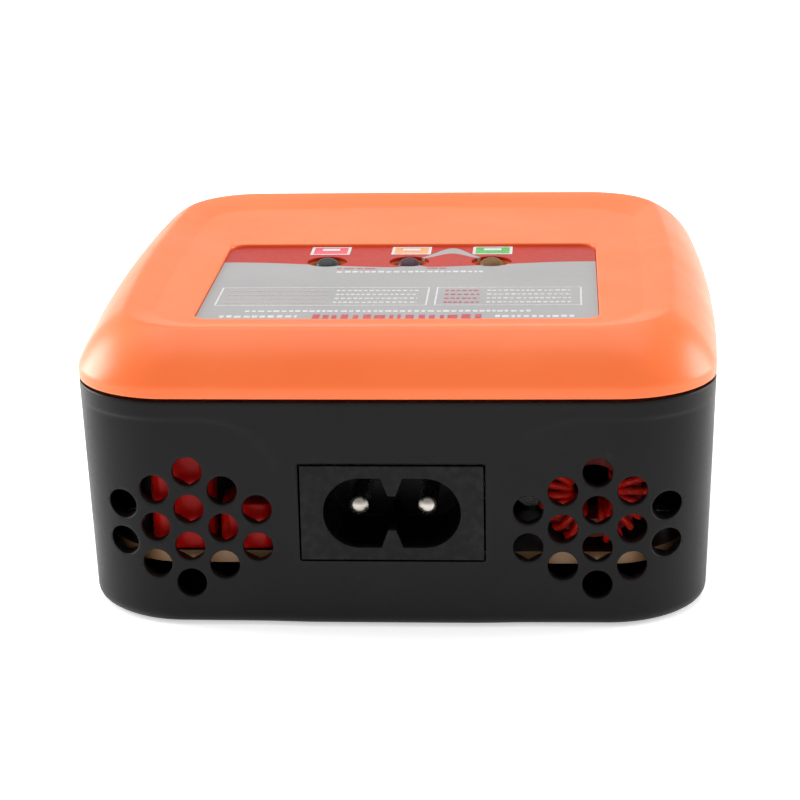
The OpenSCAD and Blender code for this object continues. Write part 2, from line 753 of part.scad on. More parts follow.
module transformer_winding() {
  h = bobbin_gap.y - 1.6 - 4 * snug;
  color([0.75, 0.1, 0.06])
    translate([transformer_at.x, transformer_at.y, board_top + 2 + core_leg + 0.8 + 2 * snug]) difference() {
      round_plate(2 * (leg_half + bobbin_gap.x) - 0.8, 14.4, h, 2);
      translate([0, 0, -eps]) block([2 * leg_half + 1.6 + 2 * snug, 8.6 + 2 * snug, h + 2 * eps]);
    }
}

module can(r, h) {
  rotate_extrude() polygon([
    [0, 0], [r, 0], [r, 1.6], [r - 0.4, 2], [r - 0.4, 2.4], [r, 2.8],
    [r, h - 0.6], [r - 0.6, h], [r - 1.1, h], [r - 1.1, h - 0.3], [0, h - 0.3]
  ]);
}

module mains_capacitor() {
  color([0.1, 0.1, 0.25]) translate([mains_cap_at.x, mains_cap_at.y, board_top]) can(mains_cap[0], mains_cap[1]);
}

module output_capacitors() {
  color([0.1, 0.1, 0.1]) for (i = [0, 1])
    translate([output_cap_at.x, output_cap_at.y + i * output_cap_pitch, board_top]) can(output_cap[0], output_cap[1]);
}

// A square-section ring, and a winding that wraps round part of it
module ring(size) {
  rotate_extrude() translate([size[1], -size[2] / 2]) square([size[0] - size[1], size[2]]);
}

module winding(size, wire, angle) {
  rotate([0, 0, -angle / 2]) rotate_extrude(angle = angle) difference() {
    translate([size[1] - wire, -size[2] / 2 - wire]) square([size[0] - size[1] + 2 * wire, size[2] + 2 * wire]);
    translate([size[1] - snug, -size[2] / 2 - snug]) square([size[0] - size[1] + 2 * snug, size[2] + 2 * snug]);
  }
}

choke_z = board_top + choke[0] + choke_wire;
module at_choke() {
  translate([choke_at.x, choke_at.y, choke_z]) rotate([90, 0, 0]) children();
}

module choke_core() {
  color([0.25, 0.3, 0.25]) at_choke() ring(choke);
}

module choke_windings() {
  color([0.72, 0.12, 0.05]) at_choke() for (a = choke_turns) rotate([0, 0, a]) winding(choke, choke_wire, 130);
}

// Two boxed film capacitors, given by place, width and height
module film_capacitors() {
  color([0.75, 0.12, 0.08]) for (c = film_caps)
    translate([c[0], film_cap_y, board_top]) round_plate(c[1], film_cap_d, c[2], 1.6);
}

module along_fuse() {
  translate([fuse_at.x, fuse_at.y, board_top + fuse[0] + 0.3]) rotate([90, 0, 0]) children();
}

fuse_cap_len = 4.5;
module fuse_body() {
  color([0.85, 0.88, 0.85]) along_fuse()
    cylinder(r = fuse[0] - 0.25, h = fuse[1] - 2 * fuse_cap_len, center = true);
}

module fuse_caps() {
  color([0.8, 0.8, 0.8]) {
    along_fuse() for (s = [-1, 1]) translate([0, 0, s * (fuse[1] - fuse_cap_len) / 2])
      cylinder(r = fuse[0], h = fuse_cap_len, center = true);
    for (s = [-1, 1]) translate([fuse_at.x, fuse_at.y + s * (fuse[1] - fuse_cap_len) / 2, board_top])
      block([1.2, 2, 1.2]);
  }
}

module thermistor() {
  color([0.15, 0.3, 0.2]) translate([thermistor_at.x, thermistor_at.y, board_top + thermistor_size[0] + 1.6]) {
    rotate([90, 0, 0]) cylinder(r = thermistor_size[0], h = thermistor_size[1], center = true);
    for (s = [-1, 1]) translate([s * 2.5, 0, -thermistor_size[0] - 1.6]) cylinder(r = 0.4, h = 3);
  }
}

module bridge_rectifier() {
  color([0.12, 0.12, 0.12]) translate([bridge_at.x, bridge_at.y, board_top]) {
    translate([0, 0, 1.5]) block([bridge.x, bridge.y, bridge.z - 1.5]);
    for (i = [-1.5:1.5]) translate([i * 3.8, 0, 0]) block([1.1, 1, 2]);
  }
}

// A transistor package: a body that stands on three legs, centred on its own middle
module power_package() {
  legs = 3.5;
  translate([0, 0, legs]) block([package.x, package.y, package.z]);
  for (i = [-1:1]) translate([0, i * 2.54, 0]) block([0.6, 0.9, legs + 1]);
}

// A heat sink plate with short fins on its outer side, towards +X
module heat_sink() {
  block(sink);
  for (i = [-3:3]) translate([sink.x / 2 + sink_fin / 2 - thin, i * 3.4, 0])
    block([sink_fin, 1, sink.z]);
}

module switch_transistor() {
  color([0.1, 0.1, 0.1])
    translate([-sink_x + sink.x / 2 + package.x / 2 + snug, transistor_sink_y, board_top]) power_package();
}

module transistor_heat_sink() {
  color([0.75, 0.76, 0.78]) translate([-sink_x, transistor_sink_y, board_top]) mirror([1, 0, 0]) heat_sink();
}

module output_diode() {
  color([0.1, 0.1, 0.1])
    translate([sink_x - sink.x / 2 - package.x / 2 - snug, diode_sink_y, board_top]) power_package();
}

module diode_heat_sink() {
  color([0.75, 0.76, 0.78]) translate([sink_x, diode_sink_y, board_top]) heat_sink();
}

module at_inductor() {
  translate([inductor_at.x, inductor_at.y, board_top + inductor[2] / 2 + inductor_wire]) children();
}

module inductor_core() {
  color([0.85, 0.75, 0.2]) at_inductor() ring(inductor);
}

module inductor_winding() {
  color([0.72, 0.32, 0.12]) at_inductor() rotate([0, 0, 90]) winding(inductor, inductor_wire, 300);
}

// A chip with a row of legs on two sides
module leaded_chip(size, n, leg) {
  translate([0, 0, 0.2]) block([size.x, size.y, size.z - 0.2]);
  for (i = [0:n - 1], s = [-1, 1])
    translate([(i - (n - 1) / 2) * size.x / n, s * (size.y / 2 + leg / 2 - thin), 0])
      block([size.x / n * 0.45, leg, 0.45]);
}

module optocoupler() {
  color([0.95, 0.95, 0.93]) translate([opto_at.x, opto_at.y, board_top]) leaded_chip(opto, 2, 1.5);
}

module controller_chip() {
  color([0.12, 0.12, 0.12]) translate([chip_at.x, chip_at.y, board_top]) leaded_chip(chip, 8, 1);
}

// Rows of small resistors beside the controller chip
module surface_parts() {
  color([0.2, 0.2, 0.22]) for (i = [0:3], j = [0:2])
    translate([chip_at.x + 6.5 + j * 2.4, chip_at.y - 4 + i * 2.6, board_top]) block([1.6, 0.8, 0.5]);
}

module case_screws() {
  color([0.25, 0.25, 0.26]) corners(boss_x, boss_y)
    translate([0, 0, head_seat_z]) rotate([180, 0, 0]) screw(screw_d, screw_len);
}

lower_case();
upper_case();
panel_label();
button_left();
button_middle();
button_right();
light_window_left();
light_window_middle();
light_window_right();
indicator_leds();
switch_bodies();
switch_plates();
button_board();
button_board_screws();
link_header();
link_socket();
main_board();
board_screws();
inlet_body();
inlet_pins();
output_socket();
output_contacts();
balance_socket_four();
balance_socket_three();
balance_pins();
transformer_core();
transformer_bobbin();
transformer_winding();
mains_capacitor();
output_capacitors();
choke_core();
choke_windings();
film_capacitors();
fuse_body();
fuse_caps();
thermistor();
bridge_rectifier();
switch_transistor();
transistor_heat_sink();
output_diode();
diode_heat_sink();
inductor_core();
inductor_winding();
optocoupler();
controller_chip();
surface_parts();
case_screws();
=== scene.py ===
import bmesh
import bpy
import json
import math
from mathutils import Matrix, Vector

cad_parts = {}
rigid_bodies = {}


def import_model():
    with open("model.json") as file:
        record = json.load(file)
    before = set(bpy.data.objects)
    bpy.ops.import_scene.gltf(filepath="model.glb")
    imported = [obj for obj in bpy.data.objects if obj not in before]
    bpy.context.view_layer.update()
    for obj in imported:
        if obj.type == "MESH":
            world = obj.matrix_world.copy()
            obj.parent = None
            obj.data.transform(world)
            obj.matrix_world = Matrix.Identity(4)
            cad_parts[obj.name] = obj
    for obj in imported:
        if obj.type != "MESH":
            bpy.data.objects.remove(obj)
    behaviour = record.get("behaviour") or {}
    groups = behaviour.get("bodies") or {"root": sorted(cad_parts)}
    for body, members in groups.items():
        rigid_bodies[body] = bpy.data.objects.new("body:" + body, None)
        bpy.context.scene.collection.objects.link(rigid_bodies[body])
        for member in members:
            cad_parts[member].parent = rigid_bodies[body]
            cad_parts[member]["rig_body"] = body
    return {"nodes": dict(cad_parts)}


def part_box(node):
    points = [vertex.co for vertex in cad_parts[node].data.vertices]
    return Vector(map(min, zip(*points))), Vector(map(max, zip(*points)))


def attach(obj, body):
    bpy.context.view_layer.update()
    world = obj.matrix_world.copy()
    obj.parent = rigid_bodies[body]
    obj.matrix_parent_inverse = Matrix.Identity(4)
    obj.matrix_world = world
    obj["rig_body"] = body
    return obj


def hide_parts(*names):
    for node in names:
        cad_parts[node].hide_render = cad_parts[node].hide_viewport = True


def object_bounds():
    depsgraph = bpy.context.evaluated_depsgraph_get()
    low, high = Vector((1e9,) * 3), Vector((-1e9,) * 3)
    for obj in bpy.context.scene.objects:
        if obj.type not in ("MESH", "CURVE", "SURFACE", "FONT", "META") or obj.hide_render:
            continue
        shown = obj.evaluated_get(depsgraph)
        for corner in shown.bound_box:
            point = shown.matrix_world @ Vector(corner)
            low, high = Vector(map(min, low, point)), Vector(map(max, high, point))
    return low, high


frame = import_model()
cadBox = [list(corner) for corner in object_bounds()]
nodes = frame["nodes"]
mm = 0.001
print("frame loaded,", len(nodes), "CAD pieces")


# ---- places taken from the frame, in millimetres
def boxOf(node):
    low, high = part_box(node)
    return low / mm, high / mm


caseHigh = boxOf("lower_case")[1]
lidHigh = boxOf("upper_case")[1]
labelLow, labelHigh = boxOf("panel_label")
halfX = lidHigh.x
halfY = lidHigh.y

shell = {
    "cornerRadius": 12.8,
    "sideBow": 1.0,
    "faceBow": 0.15,
    "sideLean": 0.9,   # how far the sides come in at the base
    "faceLean": 0.6,
    "baseRound": 1.8,
    "wall": 2.2,
    "seamGap": 0.35,
    "tongue": 1.6,
}
seam = caseHigh.z + shell["seamGap"]


# ---- mesh helpers, all in millimetres
def ease(t):
    t = max(0.0, min(1.0, t))
    return t * t * (3 - 2 * t)


def addObject(name, data):
    made = bpy.data.objects.new(name, data)
    bpy.context.scene.collection.objects.link(made)
    return made


def makePiece(name, points, faces):
    mesh = bpy.data.meshes.new(name)
    mesh.from_pydata([Vector(p) * mm for p in points], [], faces)
    return addObject(name, mesh)


# skin over a stack of rings, with both ends capped
def loftFaces(rings, offset=0):
    count = len(rings[0])
    faces = [[offset + i for i in reversed(range(count))]]
    for j in range(len(rings) - 1):
        a = offset + j * count
        b = a + count
        for i in range(count):
            k = (i + 1) % count
            faces.append([a + i, a + k, b + k, b + i])
    last = offset + (len(rings) - 1) * count
    faces.append([last + i for i in range(count)])
    return faces


# one object made of several lofts, with or without end caps
def loftPiece(name, stacks, capped=True):
    points = []
    faces = []
    for rings in stacks:
        skin = loftFaces(rings, len(points))
        faces += skin if capped else skin[1:-1]
        points += [p for ring in rings for p in ring]
    piece = makePiece(name, points, faces)
    cleanNormals(piece)
    return piece


def cleanNormals(piece):
    work = bmesh.new()
    work.from_mesh(piece.data)
    bmesh.ops.recalc_face_normals(work, faces=work.faces)
    work.to_mesh(piece.data)
    work.free()


# adds a modifier with its settings and bakes it into the mesh
def bakeModifier(piece, kind, **settings):
    step = piece.modifiers.new(kind.lower(), kind)
    for key, value in settings.items():
        setattr(step, key, value)
    graph = bpy.context.evaluated_depsgraph_get()
    mesh = bpy.data.meshes.new_from_object(piece.evaluated_get(graph))
    piece.modifiers.clear()
    old = piece.data
    piece.data = mesh
    bpy.data.meshes.remove(old)


def carve(piece, cutter):
    bakeModifier(piece, "BOOLEAN", operation="DIFFERENCE", solver="EXACT", object=cutter)
    bpy.data.objects.remove(cutter)


def shade(piece, angle=32, weighted=True):
    mesh = piece.data
    mesh.polygons.foreach_set("use_smooth", [True] * len(mesh.polygons))
    mesh.set_sharp_from_angle(angle=math.radians(angle))
    if weighted:
        bakeModifier(piece, "WEIGHTED_NORMAL", keep_sharp=True)
    return piece


steps = {"arc": 24, "bow": 24, "fineBow": 72}


# corner arcs joined by shallow bows, counter-clockwise from the right
def outline(hx, hy, radius, bowSide, bowFar, bowNear, shiftY=0.0, bowSteps=steps["bow"]):
    def arc(cx, cy, start, end):
        arcSteps = steps["arc"]
        turn = [start + (end - start) * i / arcSteps for i in range(arcSteps + 1)]
        return [(cx + radius * math.cos(a), cy + radius * math.sin(a)) for a in turn]

    def bow(p, q, depth):
        length = math.dist(p, q)
        normal = ((q[1] - p[1]) / length, (p[0] - q[0]) / length)
        points = []
        for i in range(1, bowSteps):
            t = i / bowSteps
            swell = depth * 4 * t * (1 - t)
            points.append((p[0] + (q[0] - p[0]) * t + normal[0] * swell,
                           p[1] + (q[1] - p[1]) * t + normal[1] * swell))
        return points

    half = math.pi / 2
    tiltSide = math.atan(2 * bowSide / (hy - radius))
    tiltFar = math.atan(2 * bowFar / (hx - radius))
    tiltNear = math.atan(2 * bowNear / (hx - radius))
    cx = hx - bowSide - radius * math.cos(tiltSide)
    farY = shiftY + hy - bowFar - radius * math.cos(tiltFar)
    nearY = shiftY - (hy - bowNear - radius * math.cos(tiltNear))
    right = arc(cx, farY, tiltSide, half - tiltFar)
    left = arc(-cx, farY, half + tiltFar, math.pi - tiltSide)
    nearLeft = arc(-cx, nearY, math.pi + tiltSide, 3 * half - tiltNear)
    nearRight = arc(cx, nearY, 3 * half + tiltNear, 4 * half - tiltSide)
    return (right + bow(right[-1], left[0], bowFar) + left + bow(left[-1], nearLeft[0], bowSide)
            + nearLeft + bow(nearLeft[-1], nearRight[0], bowNear) + nearRight
            + bow(nearRight[-1], right[0], bowSide))


def atHeight(points, z):
    return [(x, y, z) for x, y in points]


def roundRect(cx, cy, width, depth, radius, count=8):
    points = []
    for sx, sy, start in ((1, 1, 0), (-1, 1, 90), (-1, -1, 180), (1, -1, 270)):
        for i in range(count + 1):
            a = math.radians(start + 90 * i / count)
            points.append((cx + sx * (width / 2 - radius) + radius * math.cos(a),
                           cy + sy * (depth / 2 - radius) + radius * math.sin(a)))
    return points


def circle(cx, cy, radius, count=48):
    turn = [2 * math.pi * i / count for i in range(count)]
    return [(cx + radius * math.cos(a), cy + radius * math.sin(a)) for a in turn]


# rings of a turned shape: pairs of radius and height
def turned(cx, cy, profile, count=48):
    return [atHeight(circle(cx, cy, radius, count), z) for radius, z in profile]


# the same ring at another height
def liftTo(ring, z):
    return [(x, y, z) for x, y, _ in ring]


# rings that stand along y instead of z
def alongY(ring):
    return [(x, z, y) for x, y, z in ring]


rounding = {
    "merge": 0.002,      # points closer than this become one
    "flatten": 0.6,      # degrees under which faces count as one plane
    "edge": 38,          # degrees from which an edge is rounded
    "segments": 2,
}


# a copy of a CAD piece with its edges rounded off
def softened(node, width):
    mesh = nodes[node].data.copy()
    work = bmesh.new()
    work.from_mesh(mesh)
    bmesh.ops.remove_doubles(work, verts=work.verts, dist=rounding["merge"] * mm)
    bmesh.ops.dissolve_limit(work, angle_limit=math.radians(rounding["flatten"]), verts=work.verts,
                             edges=work.edges)
    bmesh.ops.recalc_face_normals(work, faces=work.faces)
    work.to_mesh(mesh)
    work.free()
    mesh.materials.clear()
    piece = addObject(node + "_finished", mesh)
    bakeModifier(piece, "BEVEL", width=width * mm, segments=rounding["segments"], limit_method="ANGLE",
                 angle_limit=math.radians(rounding["edge"]), use_clamp_overlap=True)
    shade(piece)
    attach(piece, nodes[node]["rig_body"])
    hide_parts(node)
    return piece


# gives a piece its material, its body and its slot
def finish(piece, material, body="case"):
    piece.data.materials.clear()
    piece.data.materials.append(material)
    if piece.parent is None:
        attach(piece, body)
    return piece


# ---- shader helpers
def newGroup(name, inputs, outputs):
    group = bpy.data.node_groups.new(name, "ShaderNodeTree")
    for label, value in inputs:
        socket = group.interface.new_socket(label, in_out="INPUT", socket_type="NodeSocketFloat")
        socket.default_value = value
    for label in outputs:
        group.interface.new_socket(label, in_out="OUTPUT", socket_type="NodeSocketFloat")
    return group, group.nodes.new("NodeGroupInput"), group.nodes.new("NodeGroupOutput")


# a constant, a colour or a link, whichever the value is
def feed(tree, socket, value):
    if isinstance(value, (int, float)):
        socket.default_value = value
    elif isinstance(value, (tuple, list)):
        socket.default_value = (*value, 1.0)
    else:
        tree.links.new(value, socket)


def feedAll(tree, node, values):
    for label, value in values.items():
        feed(tree, node.inputs[label], value)


def addMath(tree, way, a, b=None, clamp=False):
    node = tree.nodes.new("ShaderNodeMath")
    node.operation = way
    node.use_clamp = clamp
    feed(tree, node.inputs[0], a)
    if b is not None:
        feed(tree, node.inputs[1], b)
    return node.outputs[0]


def times(tree, a, b, clamp=False):
    return addMath(tree, "MULTIPLY", a, b, clamp)


def plus(tree, a, b, clamp=False):
    return addMath(tree, "ADD", a, b, clamp)


def objectPlace(tree):
    return tree.nodes.new("ShaderNodeTexCoord").outputs["Object"]


# the three axes of a vector
def axes(tree, vector):
    node = tree.nodes.new("ShaderNodeSeparateXYZ")
    tree.links.new(vector, node.inputs["Vector"])
    return node.outputs


def surface(tree, label):
    return tree.nodes.new("ShaderNodeNewGeometry").outputs[label]


def addNoise(tree, scale, detail, vector=None):
    node = tree.nodes.new("ShaderNodeTexNoise")
    feedAll(tree, node, {"Scale": scale, "Detail": detail, "Roughness": 0.55})
    tree.links.new(vector or objectPlace(tree), node.inputs["Vector"])
    return node.outputs["Fac"]


def addCells(tree, scale, feature):
    node = tree.nodes.new("ShaderNodeTexVoronoi")
    node.feature = feature
    feedAll(tree, node, {"Vector": objectPlace(tree), "Scale": scale})
    return node.outputs["Distance"]


def addRange(tree, value, low, high, toLow=0.0, toHigh=1.0):
    node = tree.nodes.new("ShaderNodeMapRange")
    feedAll(tree, node, {"Value": value, "From Min": low, "From Max": high, "To Min": toLow,
                         "To Max": toHigh})
    return node.outputs["Result"]


# spark-eroded mould texture: fine pits over a slower swell
def buildMouldGrain():
    group, entry, leave = newGroup("mould grain", [("Scale", 2600.0), ("Pits", 0.5)], ["Height", "Sheen"])
    scale = entry.outputs["Scale"]
    fine = addNoise(group, scale, 3.0)
    slow = addNoise(group, times(group, scale, 0.03), 3.0)
    pits = times(group, addCells(group, scale, "SMOOTH_F1"), entry.outputs["Pits"])
    feedAll(group, leave, {"Height": plus(group, fine, pits),
                           "Sheen": plus(group, times(group, fine, 0.35), times(group, slow, 0.65))})
    return group


# rubbed edges: where the surface turns outward, broken up by noise
def buildEdgeWear():
    group, entry, leave = newGroup("edge wear", [("Amount", 0.5), ("Break Up", 900.0)], ["Mask"])
    edge = addRange(group, surface(group, "Pointiness"), 0.515, 0.60)
    spots = addRange(group, addNoise(group, entry.outputs["Break Up"], 6.0), 0.42, 0.68)
    feed(group, leave.inputs["Mask"], times(group, times(group, edge, spots), entry.outputs["Amount"], True))
    return group


# dust: pale specks that settle on what faces up
def buildDust():
    group, entry, leave = newGroup("fine dust", [("Amount", 0.5), ("Scale", 700.0)], ["Mask"])
    scale = entry.outputs["Scale"]
    facing = addRange(group, axes(group, surface(group, "Normal"))["Z"], -0.2, 0.9, 0.25, 1.0)
    specks = addRange(group, addCells(group, scale, "F1"), 0.10, 0.04)
    patches = addRange(group, addNoise(group, times(group, scale, 0.12), 3.0), 0.45, 0.7)
    mask = times(group, times(group, specks, patches), facing)
    feed(group, leave.inputs["Mask"], times(group, mask, entry.outputs["Amount"], True))
    return group


mouldGrain = buildMouldGrain()
edgeWear = buildEdgeWear()
fineDust = buildDust()
print("shader groups ready")


def placeGroup(tree, group, **values):
    node = tree.nodes.new("ShaderNodeGroup")
    node.node_tree = group
    feedAll(tree, node, values)
    return node


def blendColour(tree, factor, a, b):
    node = tree.nodes.new("ShaderNodeMix")
    node.data_type = "RGBA"
    feed(tree, node.inputs["Factor"], factor)
    for label, value in (("A", a), ("B", b)):
        feed(tree, [s for s in node.inputs if s.name == label and s.type == "RGBA"][0], value)
    return [s for s in node.outputs if s.type == "RGBA"][0]


def startMaterial(name):
    material = bpy.data.materials.new(name)
    material.use_nodes = True
    tree = material.node_tree
    return material, tree, tree.nodes["Principled BSDF"]


def addBump(tree, shader, height, strength, distance):
    bump = tree.nodes.new("ShaderNodeBump")
    feedAll(tree, bump, {"Strength": strength, "Distance": distance * mm, "Height": height})
    feed(tree, shader.inputs["Normal"], bump.outputs["Normal"])


# moulded plastic in two close tones, with grain, rubbed edges and dust
def mouldedPlastic(name, tone, shift, rough=(0.36, 0.5), gloss=0.4, grain=2600.0, depth=0.012, worn=None,
                   wear=0.5, dust=0.25, dustTone=(0.7, 0.68, 0.66), coat=0.0, scatter=0.0):
    material, tree, shader = startMaterial(name)
    texture = placeGroup(tree, mouldGrain, Scale=grain)
    rubbed = placeGroup(tree, edgeWear, Amount=wear).outputs["Mask"]
    specks = placeGroup(tree, fineDust, Amount=dust).outputs["Mask"]
    colour = blendColour(tree, addRange(tree, addNoise(tree, 60.0, 4.0), 0.3, 0.7), tone, shift)
    colour = blendColour(tree, rubbed, colour, worn or [min(1.0, c * 1.5 + 0.03) for c in tone])
    sheen = addRange(tree, texture.outputs["Sheen"], 0.35, 0.65, *rough)
    feedAll(tree, shader, {
        "Base Color": blendColour(tree, specks, colour, dustTone),
        "Roughness": plus(tree, sheen, times(tree, specks, 0.3), True),
        "Specular IOR Level": gloss,
        "Coat Weight": coat,
        "Coat Roughness": 0.12,
        "Subsurface Weight": scatter,
        "Subsurface Scale": 0.8 * mm,
    })
    addBump(tree, shader, texture.outputs["Height"], 0.35, depth)
    return material


# bare or plated metal with fine brushing across it
def metalFinish(name, tone, shift, rough=(0.2, 0.38)):
    material, tree, shader = startMaterial(name)
    stretch = tree.nodes.new("ShaderNodeMapping")
    stretch.inputs["Scale"].default_value = (400.0, 400.0, 4000.0)
    feed(tree, stretch.inputs["Vector"], objectPlace(tree))
    lines = addNoise(tree, 1.0, 3.0, stretch.outputs["Vector"])
    stain = addNoise(tree, 500.0, 5.0)
    feedAll(tree, shader, {
        "Base Color": blendColour(tree, addRange(tree, stain, 0.35, 0.7), tone, shift),
        "Roughness": addRange(tree, times(tree, plus(tree, lines, stain), 0.5), 0.35, 0.65, *rough),
        "Metallic": 1.0,
    })
    addBump(tree, shader, lines, 0.25, 0.004)
    return material


# tinted resin that lets some light through
def tintedResin(name, tone, shift, clear, rough=(0.12, 0.25), gloss=0.5):
    material, tree, shader = startMaterial(name)
    cloud = addNoise(tree, 420.0, 3.0)
    feedAll(tree, shader, {
        "Base Color": blendColour(tree, addRange(tree, cloud, 0.3, 0.7), tone, shift),
        "Roughness": addRange(tree, cloud, 0.3, 0.7, *rough),
        "Specular IOR Level": gloss,
        "Transmission Weight": clear,
        "IOR": 1.5,
    })
    addBump(tree, shader, addNoise(tree, 1800.0, 2.0), 0.15, 0.01)
    return material


# woven board laminate: a bare sawn edge and masked faces, with faint fibre lines
def boardLaminate(name, tone, shift, mask, rough=(0.35, 0.6)):
    material, tree, shader = startMaterial(name)
    weave = tree.nodes.new("ShaderNodeTexWave")
    feedAll(tree, weave, {"Vector": objectPlace(tree), "Scale": 900.0, "Distortion": 6.0, "Detail": 2.0})
    mottle = addNoise(tree, 260.0, 5.0)
    mix = plus(tree, times(tree, weave.outputs["Fac"], 0.15), times(tree, mottle, 0.85))
    edge = blendColour(tree, addRange(tree, mix, 0.25, 0.75), tone, shift)
    face = blendColour(tree, addRange(tree, mottle, 0.3, 0.7), mask, [1.4 * c for c in mask])
    upright = addMath(tree, "ABSOLUTE", axes(tree, surface(tree, "Normal"))["Z"])
    feedAll(tree, shader, {
        "Base Color": blendColour(tree, addRange(tree, upright, 0.6, 0.8), edge, face),
        "Roughness": addRange(tree, mottle, 0.3, 0.7, *rough),
    })
    addBump(tree, shader, mix, 0.2, 0.02)
    return material


# painted shade: the inlet's cavity is blended towards black with its depth, standing in for the shade inside
# it; this also hides the dust there
def paintCavityShade(material, faceY):
    tree = material.node_tree
    socket = tree.nodes["Principled BSDF"].inputs["Base Color"]
    depth = addRange(tree, axes(tree, objectPlace(tree))["Y"], (faceY + 0.25) * mm, (faceY + 1.2) * mm)
    feed(tree, socket, blendColour(tree, depth, socket.links[0].from_socket, (0.0015, 0.0015, 0.0015)))


orangeAbs = mouldedPlastic("orange moulding", (0.93, 0.166, 0.036), (0.95, 0.184, 0.045), rough=(0.3, 0.4),
                           gloss=0.4, depth=0.008, wear=0.35, worn=(0.98, 0.34, 0.15), dust=0.15,
                           dustTone=(0.95, 0.62, 0.5), scatter=0.08)
blackAbs = mouldedPlastic("black moulding", (0.0060, 0.0050, 0.0050), (0.0084, 0.0074, 0.0075),
                          rough=(0.32, 0.46), gloss=0.13, depth=0.02, grain=2200.0, wear=0.15,
                          worn=(0.045, 0.042, 0.044), dust=0.25, dustTone=(0.12, 0.115, 0.115))
inletBlack = mouldedPlastic("inlet moulding", (0.0052, 0.0052, 0.0056), (0.0075, 0.0076, 0.0082),
                            rough=(0.22, 0.36), gloss=0.1, grain=3000.0, depth=0.008, wear=0.3,
                            worn=(0.05, 0.05, 0.053), dust=0.5, dustTone=(0.13, 0.13, 0.13))
# painted shade inside the inlet's cavity
paintCavityShade(inletBlack, boxOf("inlet_body")[0].y)
nickel = metalFinish("nickel plating", (0.52, 0.49, 0.44), (0.4, 0.365, 0.32), (0.2, 0.3))
tin = metalFinish("tinned steel", (0.7, 0.7, 0.7), (0.55, 0.55, 0.56))
gold = metalFinish("gold plating", (0.86, 0.62, 0.25), (0.76, 0.5, 0.18), (0.16, 0.3))
blackZinc = metalFinish("black zinc", (0.16, 0.16, 0.17), (0.09, 0.09, 0.1), (0.3, 0.5))
aluminium = metalFinish("milled aluminium", (0.66, 0.67, 0.69), (0.55, 0.56, 0.58), (0.28, 0.45))
copperWire = metalFinish("bare copper", (0.72, 0.34, 0.16), (0.55, 0.22, 0.1), (0.2, 0.34))
nylon = {"gloss": 0.45, "grain": 1900.0, "dust": 0.2}
socketYellow = mouldedPlastic("yellow nylon", (0.76, 0.46, 0.02), (0.82, 0.52, 0.04), (0.34, 0.5),
                              worn=(0.9, 0.68, 0.2), scatter=0.15, **nylon)
socketWhite = mouldedPlastic("white nylon", (0.78, 0.76, 0.7), (0.84, 0.82, 0.77), worn=(0.9, 0.88, 0.84),
                             scatter=0.3, **nylon)
redFilm = mouldedPlastic("red dipped epoxy", (0.6, 0.003, 0.001), (0.46, 0.002, 0.001), (0.22, 0.38), 0.12,
                         500.0, depth=0.05, worn=(0.9, 0.05, 0.03), dust=0.05)
redEnamel = mouldedPlastic("red wire enamel", (0.78, 0.008, 0.003), (0.6, 0.004, 0.001), (0.18, 0.3), 0.2,
                           900.0, depth=0.02, worn=(0.92, 0.1, 0.05), dust=0.02)
# the main board's faces take a near-black tone: solder mask darkened as painted shade, standing in for the
# shade inside the case; the sawn edge stays tan
laminateWithShadedFaces = boardLaminate("board laminate", (0.36, 0.19, 0.085), (0.43, 0.24, 0.115), (0.02, 0.013, 0.007))
laminateGreen = boardLaminate("solder mask", (0.2, 0.2, 0.09), (0.26, 0.25, 0.12), (0.016, 0.11, 0.045),
                              (0.2, 0.36))
blackEpoxy = mouldedPlastic("black epoxy", (0.014, 0.014, 0.015), (0.022, 0.022, 0.023), (0.4, 0.6),
                            grain=1500.0, depth=0.03)
whiteEpoxy = mouldedPlastic("white epoxy", (0.72, 0.71, 0.68), (0.8, 0.79, 0.76), grain=1500.0)
ferrite = mouldedPlastic("ferrite", (0.03, 0.03, 0.033), (0.05, 0.05, 0.053), (0.5, 0.75), 0.3, 1200.0,
                         depth=0.05, worn=(0.12, 0.12, 0.13))
rustCore = mouldedPlastic("rust core paint", (0.2, 0.012, 0.006), (0.15, 0.008, 0.004), gloss=0.2,
                          grain=800.0)
yellowCore = mouldedPlastic("yellow core paint", (0.66, 0.5, 0.06), (0.74, 0.58, 0.1), grain=800.0,
                            coat=0.3)
sleeve = {"rough": (0.14, 0.3), "gloss": 0.6, "grain": 600.0, "depth": 0.03, "coat": 0.5}
blueSleeve = mouldedPlastic("blue sleeve", (0.012, 0.016, 0.12), (0.02, 0.026, 0.17), **sleeve)
blackSleeve = mouldedPlastic("black sleeve", (0.012, 0.012, 0.014), (0.02, 0.02, 0.024), **sleeve)
redTape = mouldedPlastic("winding tape", (0.55, 0.02, 0.012), (0.46, 0.014, 0.008), (0.2, 0.36), 0.5, 400.0,
                         depth=0.05)
greenDisc = mouldedPlastic("disc epoxy", (0.03, 0.12, 0.06), (0.04, 0.16, 0.08), grain=700.0, depth=0.05)
clearGlass = tintedResin("fuse glass", (0.86, 0.9, 0.88), (0.9, 0.93, 0.92), 0.9, (0.03, 0.08))
whiteLed = tintedResin("led resin", (0.86, 0.85, 0.8), (0.92, 0.91, 0.86), 0.4)
print("finishes ready,", len(bpy.data.materials), "materials")


